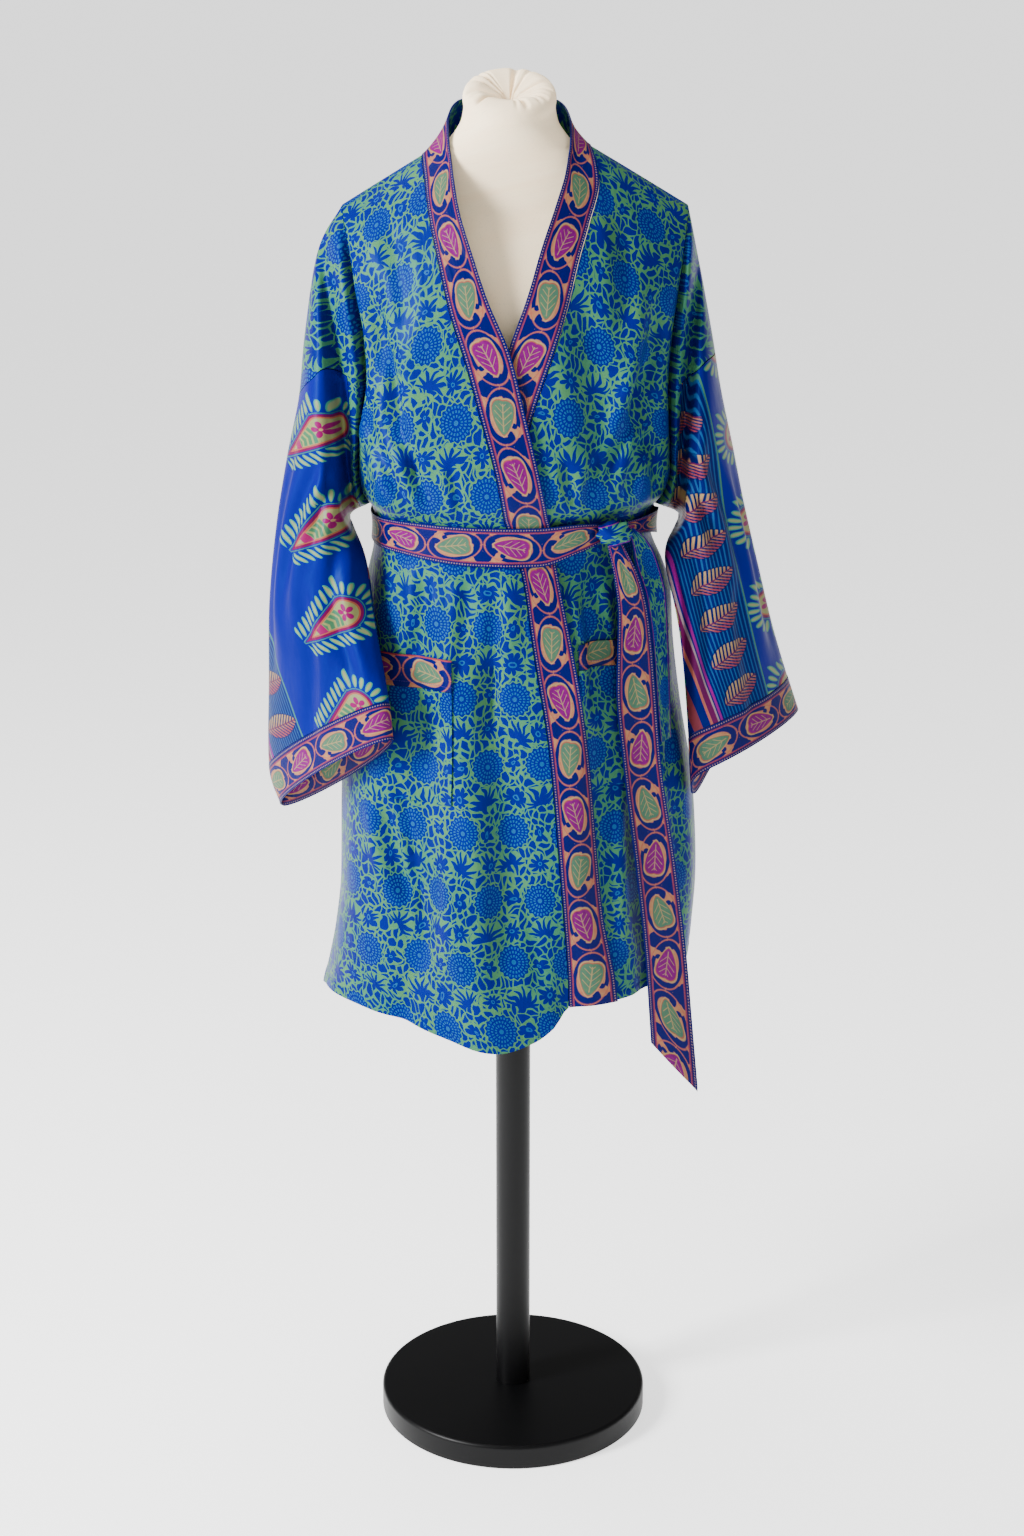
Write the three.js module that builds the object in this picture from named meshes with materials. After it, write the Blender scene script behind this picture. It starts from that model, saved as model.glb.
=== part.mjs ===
// A short wrap robe of printed sari silk, worn by a limbless dress form on a pole stand.
// Units are millimetres. +Z is up, the front faces -Y, and the origin is on the floor under the pole.
// "Right" and "left" in names are the wearer's, so the right side is at -X.
import * as THREE from 'three';
import { mergeVertices } from 'three/addons/utils/BufferGeometryUtils.js';

// Cloth and seams
const CLOTH = 1.6;
const BAND_CLOTH = 2.2;
const BAND_PROUD = 0.6;
const SEAM = 0.5;
const BAND_SEAM = 0.9;
const LAP = 5;
const POCKET_GAP = 0.5;

// Stand
const BASE_RADIUS = 165;
const BASE_HEIGHT = 31;
const BASE_ROUND = 5;
const POLE_RADIUS = 21;
const FORM_BOTTOM = 800;
const TOUCH = 0.3;

// Shoulders and armholes
const UNDERARM = 1160;
const SHOULDER = 1493;
const SHOULDER_SLOPE = 0.607;
const SHOULDER_SOFT = 25;
const ARMHOLE_DEPTH = 52;
const NECK_CENTRE = -7.5;
const NECK_HALF = 93.5;
const BACK_NECK_DROP = 41;
const BACK_NECK_POWER = 1.3;
const BACK_NECK_FROM = 1369;
const HEM = 560;
const HEM_FROM = 700;
const SECTION_POWER = 0.9;

// Torso of the robe, by height: half widths at the two side seams, depths at centre front and back
const TORSO = [
  { z: 540, right: 231, left: 206, front: 170, back: 151 },
  { z: 570, right: 229, left: 207, front: 168, back: 150 },
  { z: 600, right: 222, left: 208, front: 164, back: 147 },
  { z: 650, right: 212, left: 213, front: 160, back: 144 },
  { z: 720, right: 204, left: 217, front: 155, back: 140 },
  { z: 820, right: 202, left: 212, front: 149, back: 136 },
  { z: 920, right: 192, left: 196, front: 142, back: 131 },
  { z: 1000, right: 182, left: 184, front: 136, back: 124 },
  { z: 1060, right: 172, left: 172, front: 129, back: 115 },
  { z: 1090, right: 165, left: 163, front: 122, back: 109 },
  { z: 1112, right: 160, left: 158, front: 118, back: 105 },
  { z: 1138, right: 158, left: 156, front: 117, back: 104 },
  { z: 1160, right: 161, left: 159, front: 119, back: 106 },
  { z: 1178, right: 170, left: 170, front: 129, back: 116 },
  { z: 1205, right: 173, left: 176, front: 134, back: 119 },
  { z: 1250, right: 168, left: 174, front: 129, back: 115 },
  { z: 1307, right: 162, left: 172, front: 124, back: 111 },
  { z: 1353, right: 164, left: 175, front: 117, back: 104 },
  { z: 1393, right: 171, left: 180, front: 104, back: 98 },
  { z: 1428, right: 177, left: 185, front: 80, back: 87 },
  { z: 1450, right: 181, left: 188, front: 61, back: 77 },
  { z: 1467, right: 184, left: 190, front: 44, back: 64 },
  { z: 1482, right: 187, left: 192, front: 27, back: 46 },
  { z: 1490, right: 188, left: 193, front: 13, back: 26 },
  { z: 1493, right: 189, left: 193, front: 0, back: 0 },
];

// Heights of the rows of faces below the underarm, for the panels that have no pocket
const LOW_ROWS = [560, 590, 620, 655, 700, 760, 820, 880, 940, 1000, 1045, 1080, 1112, 1138];
const POCKET_ROWS_BELOW = [560, 590, 620, 655, 700, 750, 800];
const POCKET_ROWS_ABOVE = [1045, 1080, 1112, 1138];

// Drop of the front and back hems from the level HEM, by place across
const HEM_LINE = [
  { across: -1, front: 13, back: 13 },
  { across: -0.85, front: 25, back: 16 },
  { across: -0.7, front: 28, back: 18 },
  { across: -0.4, front: 19, back: 22 },
  { across: -0.2, front: 5, back: 24 },
  { across: -0.04, front: -5, back: 26 },
  { across: 0.06, front: 3, back: 28 },
  { across: 0.13, front: 17, back: 30 },
  { across: 0.2, front: 40, back: 34 },
  { across: 0.5, front: 45, back: 45 },
  { across: 0.9, front: 62, back: 60 },
  { across: 1, front: 63, back: 63 },
];
const UNDER_HEM = 40;

// Soft folds of the torso: side -1 is the front, place and width across, height where deepest and reach
const FOLDS = [
  { side: -1, across: -0.1, lean: -0.0004, width: 0.1, out: 13, z: 600, reach: 230 },
  { side: -1, across: -0.36, lean: 0.0006, width: 0.07, out: -9, z: 640, reach: 190 },
  { side: -1, across: -0.72, lean: 0.0003, width: 0.12, out: 6, z: 620, reach: 220 },
  { side: -1, across: 0.2, lean: 0, width: 0.06, out: -8, z: 600, reach: 120 },
  { side: -1, across: -0.03, lean: 0.0002, width: 0.055, out: 8, z: 1050, reach: 90 },
  { side: -1, across: 0.38, lean: 0, width: 0.06, out: -8, z: 1040, reach: 110 },
  { side: -1, across: 0.54, lean: 0, width: 0.06, out: -13, z: 740, reach: 230 },
  { side: -1, across: 0.78, lean: 0, width: 0.09, out: 7, z: 700, reach: 230 },
  { side: -1, across: -0.55, lean: 0.0005, width: 0.09, out: 7, z: 1225, reach: 90 },
  { side: -1, across: -0.8, lean: 0.0003, width: 0.08, out: -7, z: 1250, reach: 110 },
  { side: -1, across: 0.55, lean: -0.0003, width: 0.08, out: 8, z: 1215, reach: 90 },
  { side: -1, across: 0.76, lean: -0.0006, width: 0.09, out: -12, z: 1230, reach: 130 },
  { side: 1, across: -0.62, lean: 0.0002, width: 0.1, out: 9, z: 700, reach: 240 },
  { side: 1, across: -0.36, lean: 0, width: 0.09, out: -9, z: 690, reach: 240 },
  { side: 1, across: -0.08, lean: 0, width: 0.1, out: 8, z: 640, reach: 260 },
  { side: 1, across: 0.2, lean: 0.0001, width: 0.09, out: -8, z: 700, reach: 240 },
  { side: 1, across: 0.48, lean: -0.0001, width: 0.1, out: 9, z: 660, reach: 240 },
  { side: 1, across: -0.5, lean: 0, width: 0.09, out: 6, z: 1215, reach: 80 },
  { side: 1, across: -0.16, lean: 0, width: 0.07, out: -6, z: 1210, reach: 80 },
  { side: 1, across: 0.18, lean: 0, width: 0.09, out: 6, z: 1215, reach: 80 },
  { side: 1, across: 0.55, lean: 0, width: 0.08, out: -6, z: 1210, reach: 80 },
];

// Edges of the two front neckbands, as places along X, by height. The right front laps over the left
const BAND_EDGES = [
  { z: 560, overSeam: 66, overFree: 119, underSeam: -72, underFree: -120 },
  { z: 602, overSeam: 64, overFree: 115, underSeam: -70, underFree: -117 },
  { z: 740, overSeam: 53, overFree: 99, underSeam: -60, underFree: -106 },
  { z: 896, overSeam: 40, overFree: 83, underSeam: -47, underFree: -92 },
  { z: 1020, overSeam: 21, overFree: 64, underSeam: -33, underFree: -78 },
  { z: 1110, overSeam: 6, overFree: 47, underSeam: -20, underFree: -64 },
  { z: 1158, overSeam: -8, overFree: 40, underSeam: -9, underFree: -55 },
  { z: 1200, overSeam: -16.5, overFree: 31, underSeam: 3, underFree: -45 },
  { z: 1262, overSeam: -36, overFree: 13, underSeam: 22, underFree: -27 },
  { z: 1307, overSeam: -51, overFree: -2, underSeam: 41, underFree: -8 },
  { z: 1353, overSeam: -68, overFree: -27, underSeam: 59, underFree: 15 },
  { z: 1393, overSeam: -79, overFree: -44, underSeam: 71, underFree: 31 },
  { z: 1428, overSeam: -88, overFree: -57, underSeam: 83, underFree: 46 },
  { z: 1467, overSeam: -96, overFree: -66, underSeam: 94, underFree: 60 },
  { z: 1482, overSeam: -99, overFree: -70, underSeam: 91, underFree: 63 },
  { z: 1493, overSeam: -101, overFree: -73, underSeam: 86, underFree: 66 },
];
const BAND_LEAVES_CHEST = 1460;

// The free edge of the neckband where it stands round the neck, measured out from the neck's centre.
// In front it goes by the height of the seam beside it, behind by the share of the neck's half width
const COLLAR_FRONT = [
  { seamZ: 1470, outRight: 60, outLeft: 67, y: -42, z: 1544 },
  { seamZ: 1487, outRight: 64, outLeft: 71, y: -18, z: 1570 },
  { seamZ: 1493, outRight: 65, outLeft: 71, y: 4, z: 1588 },
];
const COLLAR_BACK = [
  { share: 0.97, outRight: 62, outLeft: 67, y: 25, z: 1597 },
  { share: 0.84, outRight: 54, outLeft: 58, y: 48, z: 1603 },
  { share: 0.55, outRight: 37, outLeft: 39, y: 66, z: 1606 },
  { share: 0.27, outRight: 20, outLeft: 20, y: 73, z: 1607 },
  { share: 0, outRight: 0.3, outLeft: 0.3, y: 75, z: 1607 },
];
const COLLAR_GAP = 0.9;
const COLLAR_HOLLOW = 4;

// Rings of each sleeve below the armhole: the outer and inner edge of the hanging tube, and its depths
const SLEEVE = {
  right: [
    { outX: 217, outY: 6, outZ: 1444, inX: 183, inY: -8, inZ: 1150, front: 66, back: 56, rise: 0, drop: 0, lobe: 0 },
    { outX: 233, outY: 4, outZ: 1356, inX: 186, inY: -20, inZ: 1142, front: 72, back: 52, rise: 0, drop: 0, lobe: 0 },
    { outX: 241, outY: 0, outZ: 1283, inX: 185, inY: -34, inZ: 1134, front: 68, back: 44, rise: 4, drop: 4, lobe: 0 },
    { outX: 254, outY: -4, outZ: 1219, inX: 181, inY: -54, inZ: 1116, front: 58, back: 34, rise: 6, drop: 6, lobe: 0 },
    { outX: 266, outY: -9, outZ: 1138, inX: 171, inY: -78, inZ: 1085, front: 48, back: 25, rise: 8, drop: 8, lobe: 0 },
    { outX: 274, outY: -14, outZ: 1045, inX: 159, inY: -104, inZ: 1050, front: 42, back: 18, rise: 10, drop: 11, lobe: 0 },
    { outX: 280, outY: -18, outZ: 951, inX: 146, inY: -129, inZ: 1002, front: 37, back: 15, rise: 13, drop: 15, lobe: 0 },
    { outX: 284, outY: -20, outZ: 849, inX: 138, inY: -147, inZ: 963, front: 34, back: 13, rise: 16, drop: 14, lobe: 0 },
    { outX: 272, outY: -21, outZ: 802, inX: 134, inY: -151, inZ: 920, front: 32, back: 14, rise: 16, drop: 13, lobe: 0 },
  ],
  left: [
    { outX: 209, outY: 2, outZ: 1422, inX: 187, inY: -8, inZ: 1150, front: 68, back: 56, rise: 0, drop: 0, lobe: 0 },
    { outX: 223, outY: 0, outZ: 1352, inX: 189, inY: -20, inZ: 1142, front: 74, back: 52, rise: 0, drop: 0, lobe: 0 },
    { outX: 234, outY: 0, outZ: 1290, inX: 189, inY: -32, inZ: 1134, front: 70, back: 44, rise: 4, drop: 4, lobe: 0 },
    { outX: 248, outY: 4, outZ: 1226, inX: 188, inY: -42, inZ: 1118, front: 60, back: 34, rise: 6, drop: 6, lobe: 0 },
    { outX: 261, outY: 10, outZ: 1158, inX: 188, inY: -50, inZ: 1088, front: 52, back: 27, rise: 8, drop: 6, lobe: 0 },
    { outX: 277, outY: 16, outZ: 1087, inX: 192, inY: -58, inZ: 1040, front: 46, back: 22, rise: 9, drop: 4, lobe: 3 },
    { outX: 296, outY: 22, outZ: 1014, inX: 197, inY: -66, inZ: 975, front: 42, back: 20, rise: 9, drop: 2, lobe: 8 },
    { outX: 318, outY: 26, outZ: 948, inX: 202, inY: -72, inZ: 908, front: 38, back: 20, rise: 9, drop: 0, lobe: 18 },
    { outX: 333, outY: 28, outZ: 907, inX: 206, inY: -74, inZ: 858, front: 36, back: 22, rise: 9, drop: 0, lobe: 34 },
  ],
};
const CUFF_FROM = 8;
const CUFF_TO = 9;
const CUFF_GAP = 0.8;

// Where the printed head of each sleeve ends, as a ring number at the outer edge and at the underarm
const HEAD_END = { right: { outer: 3, underarm: 0.5 }, left: { outer: 2.3, underarm: 0.5 } };
// The soft fold that runs beside the armhole, and the groove between it and the hanging sleeve
const SIDE_FOLD = { at: 0.27, width: 0.2, out: 11 };
const SIDE_GROOVE = { at: 0.78, width: 0.24, out: -17 };
const ARMHOLE_STEP = Math.PI / 12;
// Where round the left cuff its edge droops behind, and how wide the droop is
const LOBE_ANGLE = 3.75;
const LOBE_WIDTH = 0.6;

// The waist belt, by place across the front or back: its mid height and half height
const BELT = [
  { across: -1, front: 1137, frontHalf: 15, back: 1137, backHalf: 15 },
  { across: -0.6, front: 1138, frontHalf: 18, back: 1139, backHalf: 22 },
  { across: -0.15, front: 1134, frontHalf: 22, back: 1140, backHalf: 23 },
  { across: 0.1, front: 1134, frontHalf: 22, back: 1140, backHalf: 23 },
  { across: 0.3, front: 1142, frontHalf: 16, back: 1140, backHalf: 23 },
  { across: 0.48, front: 1147, frontHalf: 8, back: 1140, backHalf: 22 },
  { across: 0.66, front: 1147, frontHalf: 9, back: 1140, backHalf: 20 },
  { across: 1, front: 1140, frontHalf: 15, back: 1140, backHalf: 15 },
];
const BELT_OFF = 1.6;
const BELT_THICK = 2;
const WAIST = 1138;
const CINCH = 34;

const KNOT = { x: 111, y: -111.3, z: 1147, halfWidth: 19, halfDepth: 10, halfHeight: 13, turn: 0.3 };

// Belt ends: the two edges of each hanging end, by height
const LONG_END = [
  { z: 480, leftX: 166, leftY: -121, rightX: 218, rightY: -106 },
  { z: 560, leftX: 160, leftY: -124, rightX: 210, rightY: -108 },
  { z: 650, leftX: 153, leftY: -127, rightX: 201, rightY: -111 },
  { z: 757, leftX: 141, leftY: -130, rightX: 187, rightY: -113 },
  { z: 890, leftX: 124, leftY: -127, rightX: 167, rightY: -113 },
  { z: 972, leftX: 116, leftY: -123, rightX: 160, rightY: -108 },
  { z: 1053, leftX: 117, leftY: -117, rightX: 151, rightY: -106 },
  { z: 1097, leftX: 112, leftY: -116, rightX: 140, rightY: -110 },
  { z: 1134.4, leftX: 104, leftY: -112, rightX: 122, rightY: -110 },
];
const LONG_END_LOW = 508;
const LONG_END_CUT = 70;
const SHORT_END = [
  { z: 902, leftX: 168, leftY: -96, rightX: 181, rightY: -76 },
  { z: 950, leftX: 163, leftY: -97, rightX: 179, rightY: -77 },
  { z: 1010, leftX: 158, leftY: -97, rightX: 176, rightY: -78 },
  { z: 1070, leftX: 149, leftY: -97, rightX: 172, rightY: -80 },
  { z: 1112, leftX: 136, leftY: -98, rightX: 161, rightY: -84 },
  { z: 1134, leftX: 132, leftY: -101, rightX: 150, rightY: -90 },
  { z: 1150, leftX: 126.6, leftY: -107, rightX: 134.5, rightY: -95 },
];
const SHORT_END_LOW = 902;

// Patch pockets: the edge nearest the centre, how far each reaches round the side, and heights
const POCKETS = {
  right: { near: -66, far: -166, top: 1008, bandLow: 972, low: 842 },
  left: { near: 71, far: 176, top: 1024, bandLow: 996, low: 860 },
};
const LAYOUT_FROM = 1040;
const LAYOUT_FADE = 110;

// The dress form, by height: half width and depths; tilt leans a ring forward
const FORM = [
  { z: 800, half: 148, front: 104, back: 100, tilt: 0 },
  { z: 812, half: 158, front: 111, back: 108, tilt: 0 },
  { z: 870, half: 168, front: 118, back: 114, tilt: 0 },
  { z: 950, half: 162, front: 113, back: 108, tilt: 0 },
  { z: 1030, half: 146, front: 103, back: 95, tilt: 0 },
  { z: 1090, half: 135, front: 94, back: 85, tilt: 0 },
  { z: 1138, half: 131, front: 91, back: 82, tilt: 0 },
  { z: 1190, half: 136, front: 97, back: 86, tilt: 0 },
  { z: 1250, half: 144, front: 108, back: 92, tilt: 0 },
  { z: 1310, half: 149, front: 113, back: 95, tilt: 0 },
  { z: 1370, half: 154, front: 106, back: 93, tilt: 0 },
  { z: 1420, half: 162, front: 91, back: 84, tilt: 0 },
  { z: 1455, half: 169, front: 70, back: 67, tilt: 0 },
  { z: 1478, half: 171, front: 52, back: 52, tilt: 0 },
  { z: 1494, half: 166, front: 44, back: 46, tilt: 0 },
  { z: 1515, half: 142, front: 42, back: 47, tilt: 0 },
  { z: 1534, half: 112, front: 42, back: 48, tilt: 0 },
  { z: 1548, half: 88, front: 43, back: 49, tilt: 0 },
  { z: 1560, half: 72, front: 44, back: 49, tilt: 0 },
  { z: 1572, half: 61, front: 46, back: 50, tilt: 0 },
  { z: 1585, half: 54, front: 47, back: 50, tilt: 0.1 },
  { z: 1600, half: 50, front: 48, back: 49, tilt: 0.32 },
  { z: 1609, half: 48, front: 47, back: 48, tilt: 0.4 },
  { z: 1617, half: 42, front: 41, back: 42, tilt: 0.42 },
  { z: 1621, half: 30, front: 29, back: 30, tilt: 0.42 },
  { z: 1618, half: 13, front: 12, back: 13, tilt: 0.42 },
];
const FORM_DIMPLE = 1609;
const FORM_NECK_SHIFT = -4;
const FORM_NECK_FROM = 1470;
const FORM_NECK_FADE = 80;

// Facets
const FRONT_COLUMNS = 16;
const POCKET_FAR_COLUMN = 5;
const POCKET_NEAR_COLUMN = 11;
const BACK_COLUMNS = 24;
const SLEEVE_SIDES = 24;
const HEAD_ROWS = 6;
const PANEL_ROWS = 9;
const FORM_SIDES = 26;
const BELT_STEPS = 22;

const COLOURS = {
  print: 0x2a63b0, blue: 0x1734c4, border: 0x8a4a9a, belt: 0x6a4aa8, calico: 0xeadfcb, metal: 0x17181a,
};

const clamp = (value, low, high) => Math.min(high, Math.max(low, value));
const smooth = (t) => {
  const c = clamp(t, 0, 1);
  return c * c * (3 - 2 * c);
};
const mix = (a, b, t) => a + (b - a) * t;
const bump = (distance, width) => Math.exp(-((distance / width) ** 2));

// The value of one column of a table at a height or place, on a smooth curve with no overshoot
function read(table, by, column, at) {
  const last = table.length - 1;
  const x = clamp(at, table[0][by], table[last][by]);
  let i = 0;
  while (i < last - 1 && x > table[i + 1][by]) i += 1;
  const slope = (k) => (table[k + 1][column] - table[k][column]) / (table[k + 1][by] - table[k][by]);
  const tangent = (k) => {
    if (k === 0) return slope(0);
    if (k === last) return slope(last - 1);
    const a = slope(k - 1);
    const b = slope(k);
    return a * b <= 0 ? 0 : (2 * a * b) / (a + b);
  };
  const width = table[i + 1][by] - table[i][by];
  const t = (x - table[i][by]) / width;
  const rise = table[i + 1][column] - table[i][column];
  const m0 = tangent(i) * width;
  const m1 = tangent(i + 1) * width;
  return table[i][column] + t * m0 + t * t * (3 * rise - 2 * m0 - m1) + t * t * t * (m0 + m1 - 2 * rise);
}

const lap = (across) => LAP * smooth((across + 0.96) / 0.34);

const armholeDepth = (z) => {
  const middle = (SHOULDER + UNDERARM) / 2;
  const part = (z - middle) / (SHOULDER - middle);
  return ARMHOLE_DEPTH * Math.sqrt(Math.max(0, 1 - part * part));
};

function halfWidth(across, z) {
  const toLeft = (1 + Math.sin((Math.PI / 2) * across)) / 2;
  return mix(read(TORSO, 'z', 'right', z), read(TORSO, 'z', 'left', z), toLeft);
}

// A point on the outside of the robe's torso. Side is -1 in front and 1 behind; across runs from -1 to 1
function torsoPoint(side, across, z) {
  const angle = (Math.PI / 2) * across;
  const half = halfWidth(across, z);
  const depth = read(TORSO, 'z', side < 0 ? 'front' : 'back', z);
  const edge = armholeDepth(z);
  let swell = 0;
  for (const f of FOLDS) {
    if (f.side !== side) continue;
    const place = f.across + f.lean * (z - f.z);
    swell += f.out * bump(across - place, f.width) * bump(z - f.z, f.reach);
  }
  swell *= (1 - bump(z - WAIST, CINCH)) * Math.sqrt(Math.max(0, Math.cos(angle)));
  const x = half * Math.sin(angle);
  const y = side * (SEAM / 2 + edge + (depth - edge) * Math.max(0, Math.cos(angle)) ** SECTION_POWER);
  const wide = Math.hypot(x, y) || 1;
  const slope = SHOULDER_SLOPE * (half - Math.hypot(x, SHOULDER_SOFT) + SHOULDER_SOFT * 0.12);
  const lift = slope * smooth((z - UNDERARM) / (SHOULDER - UNDERARM));
  return new THREE.Vector3(x + (x / wide) * swell, y + (y / wide) * swell, z + lift);
}

// The height of a row at a place across, where rows near the hem follow the hem's own line
function rowHeight(side, across, height, under) {
  if (height >= HEM_FROM) return height;
  const drop = read(HEM_LINE, 'across', side < 0 ? 'front' : 'back', across);
  const hem = HEM + (under ? Math.max(drop, UNDER_HEM) : drop);
  return mix(hem, HEM_FROM, (height - HEM) / (HEM_FROM - HEM));
}

// The torso's outward direction at a place
function torsoNormal(side, across, z) {
  const stepAcross = across > 0 ? -0.01 : 0.01;
  const stepUp = z > (HEM + SHOULDER) / 2 ? -2 : 2;
  const here = torsoPoint(side, across, z);
  const sideways = torsoPoint(side, across + stepAcross, z).sub(here).multiplyScalar(Math.sign(stepAcross));
  const upward = torsoPoint(side, across, z + stepUp).sub(here).multiplyScalar(Math.sign(stepUp));
  return sideways.cross(upward).multiplyScalar(-side).normalize();
}

// The place across at which the torso has a given X
function acrossAt(x, z) {
  let low = -1;
  let high = 1;
  for (let i = 0; i < 40; i += 1) {
    const middle = (low + high) / 2;
    if (halfWidth(middle, z) * Math.sin((Math.PI / 2) * middle) < x) low = middle;
    else high = middle;
  }
  return (low + high) / 2;
}

// A closed wall from outer and inner points in rows. Ring walls close round the columns
function wall(outer, inner, ring) {
  const rows = outer.length;
  const columns = outer[0].length;
  const points = [...outer.flat(), ...inner.flat()];
  const shift = rows * columns;
  const faces = [];
  const at = (r, c) => r * columns + (c % columns);
  const quad = (a, b, c, d) => faces.push(a, b, c, a, c, d);
  const across = ring ? columns : columns - 1;
  for (let r = 0; r < rows - 1; r += 1) {
    for (let c = 0; c < across; c += 1) {
      quad(at(r, c), at(r, c + 1), at(r + 1, c + 1), at(r + 1, c));
      quad(shift + at(r, c), shift + at(r + 1, c), shift + at(r + 1, c + 1), shift + at(r, c + 1));
    }
  }
  for (let c = 0; c < across; c += 1) {
    quad(at(0, c + 1), at(0, c), shift + at(0, c), shift + at(0, c + 1));
    const top = rows - 1;
    quad(at(top, c), at(top, c + 1), shift + at(top, c + 1), shift + at(top, c));
  }
  if (!ring) {
    for (let r = 0; r < rows - 1; r += 1) {
      quad(at(r, 0), at(r + 1, 0), shift + at(r + 1, 0), shift + at(r, 0));
      const end = columns - 1;
      quad(at(r + 1, end), at(r, end), shift + at(r, end), shift + at(r + 1, end));
    }
  }
  return solidFrom(points, faces);
}

// A geometry from points and triangles, turned inside out if its volume is negative
function solidFrom(points, faces) {
  const volume = () => {
    let sum = 0;
    const cross = new THREE.Vector3();
    for (let i = 0; i < faces.length; i += 3) {
      cross.crossVectors(points[faces[i + 1]], points[faces[i + 2]]);
      sum += points[faces[i]].dot(cross);
    }
    return sum;
  };
  if (volume() < 0) {
    for (let i = 0; i < faces.length; i += 3) [faces[i + 1], faces[i + 2]] = [faces[i + 2], faces[i + 1]];
  }
  const geometry = new THREE.BufferGeometry().setFromPoints(points);
  geometry.setIndex(faces);
  return geometry;
}

// The unit normals of a grid of points, from the points beside each
function gridNormals(grid, ring, sign) {
  const rows = grid.length;
  const columns = grid[0].length;
  return grid.map((row, r) => row.map((_, c) => {
    const left = ring ? row[(c + columns - 1) % columns] : row[Math.max(0, c - 1)];
    const right = ring ? row[(c + 1) % columns] : row[Math.min(columns - 1, c + 1)];
    const below = grid[Math.max(0, r - 1)][c];
    const above = grid[Math.min(rows - 1, r + 1)][c];
    const along = right.clone().sub(left);
    return along.cross(above.clone().sub(below)).multiplyScalar(sign).normalize();
  }));
}

const moved = (grid, normals, distance) => grid.map((row, r) => row.map(
  (point, c) => point.clone().addScaledVector(normals[r][c], distance),
));

// Heights at which the panels and the sleeve both have a point on the armhole
const armholeRows = Array.from({ length: 13 }, (_, i) => (
  (SHOULDER + UNDERARM) / 2 - ((SHOULDER - UNDERARM) / 2) * Math.cos(i * ARMHOLE_STEP)
));

// Points and outward directions of a panel on the torso, by rows of heights and columns across
function torsoGrid({ side, columns, heights, acrossOf, zOf, out }) {
  const points = [];
  const normals = [];
  for (const height of heights) {
    const row = [];
    const rowNormals = [];
    for (let c = 0; c <= columns; c += 1) {
      const across = acrossOf(c, height);
      const z = zOf(across, height);
      const normal = torsoNormal(side, across, z);
      const onSide = Math.abs(across) > 0.999;
      if (z > SHOULDER - 0.01 || (onSide && z < UNDERARM)) normal.y = 0;
      else if (onSide) normal.x = 0;
      normal.normalize();
      row.push(torsoPoint(side, across, z).addScaledVector(normal, out(across)));
      rowNormals.push(normal);
    }
    points.push(row);
    normals.push(rowNormals);
  }
  return { points, normals };
}

// A front panel's grid. Its columns run along the pocket's two upright edges, and even out above them
function frontGrid(key) {
  const over = key === 'right';
  const side = over ? -1 : 1;
  const seam = over ? 'overSeam' : 'underSeam';
  const { near, far, low, bandLow, top } = POCKETS[key];
  const inPocket = [low, mix(low, bandLow, 0.33), mix(low, bandLow, 0.67), bandLow, top];
  const heights = [...POCKET_ROWS_BELOW, ...inPocket, ...POCKET_ROWS_ABOVE, ...armholeRows];
  const acrossOf = (c, z) => {
    const seamAt = acrossAt(read(BAND_EDGES, 'z', seam, z), z);
    const even = mix(side, seamAt, c / FRONT_COLUMNS);
    const farAt = acrossAt(far, z);
    const nearAt = acrossAt(near, z);
    let laid = mix(side, farAt, c / POCKET_FAR_COLUMN);
    if (c > POCKET_FAR_COLUMN) {
      laid = mix(farAt, nearAt, (c - POCKET_FAR_COLUMN) / (POCKET_NEAR_COLUMN - POCKET_FAR_COLUMN));
    }
    if (c > POCKET_NEAR_COLUMN) {
      laid = mix(nearAt, seamAt, (c - POCKET_NEAR_COLUMN) / (FRONT_COLUMNS - POCKET_NEAR_COLUMN));
    }
    return mix(laid, even, smooth((z - LAYOUT_FROM) / LAYOUT_FADE));
  };
  const zOf = (across, height) => rowHeight(-1, across, height, !over);
  const out = (across) => (over ? lap(across) : 0);
  return { heights, ...torsoGrid({ side: -1, columns: FRONT_COLUMNS, heights, acrossOf, zOf, out }) };
}

const panelWall = ({ points, normals }, thick) => wall(points, moved(points, normals, -thick), false);

const backTop = (across) => {
  const x = halfWidth(across, SHOULDER) * Math.sin((Math.PI / 2) * across);
  const inNeck = Math.max(0, 1 - ((x - NECK_CENTRE) / NECK_HALF) ** 2);
  return SHOULDER - BACK_NECK_DROP * inNeck ** BACK_NECK_POWER;
};

// The back. Its columns meet the two neck points, and its top rows follow the neckline
function backGrid() {
  const neck = [NECK_CENTRE - NECK_HALF, NECK_CENTRE + NECK_HALF].map((x) => acrossAt(x, SHOULDER));
  const marks = [-1, neck[0], neck[1], 1];
  const third = BACK_COLUMNS / 3;
  const acrossOf = (c) => {
    const part = Math.min(2, Math.floor(c / third));
    return mix(marks[part], marks[part + 1], c / third - part);
  };
  const zOf = (across, height) => {
    const share = (height - BACK_NECK_FROM) / (SHOULDER - BACK_NECK_FROM);
    if (share > 0) return mix(BACK_NECK_FROM, backTop(across), share);
    return rowHeight(1, across, height, false);
  };
  const heights = [...LOW_ROWS, ...armholeRows];
  return torsoGrid({ side: 1, columns: BACK_COLUMNS, heights, acrossOf, zOf, out: () => 0 });
}

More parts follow.
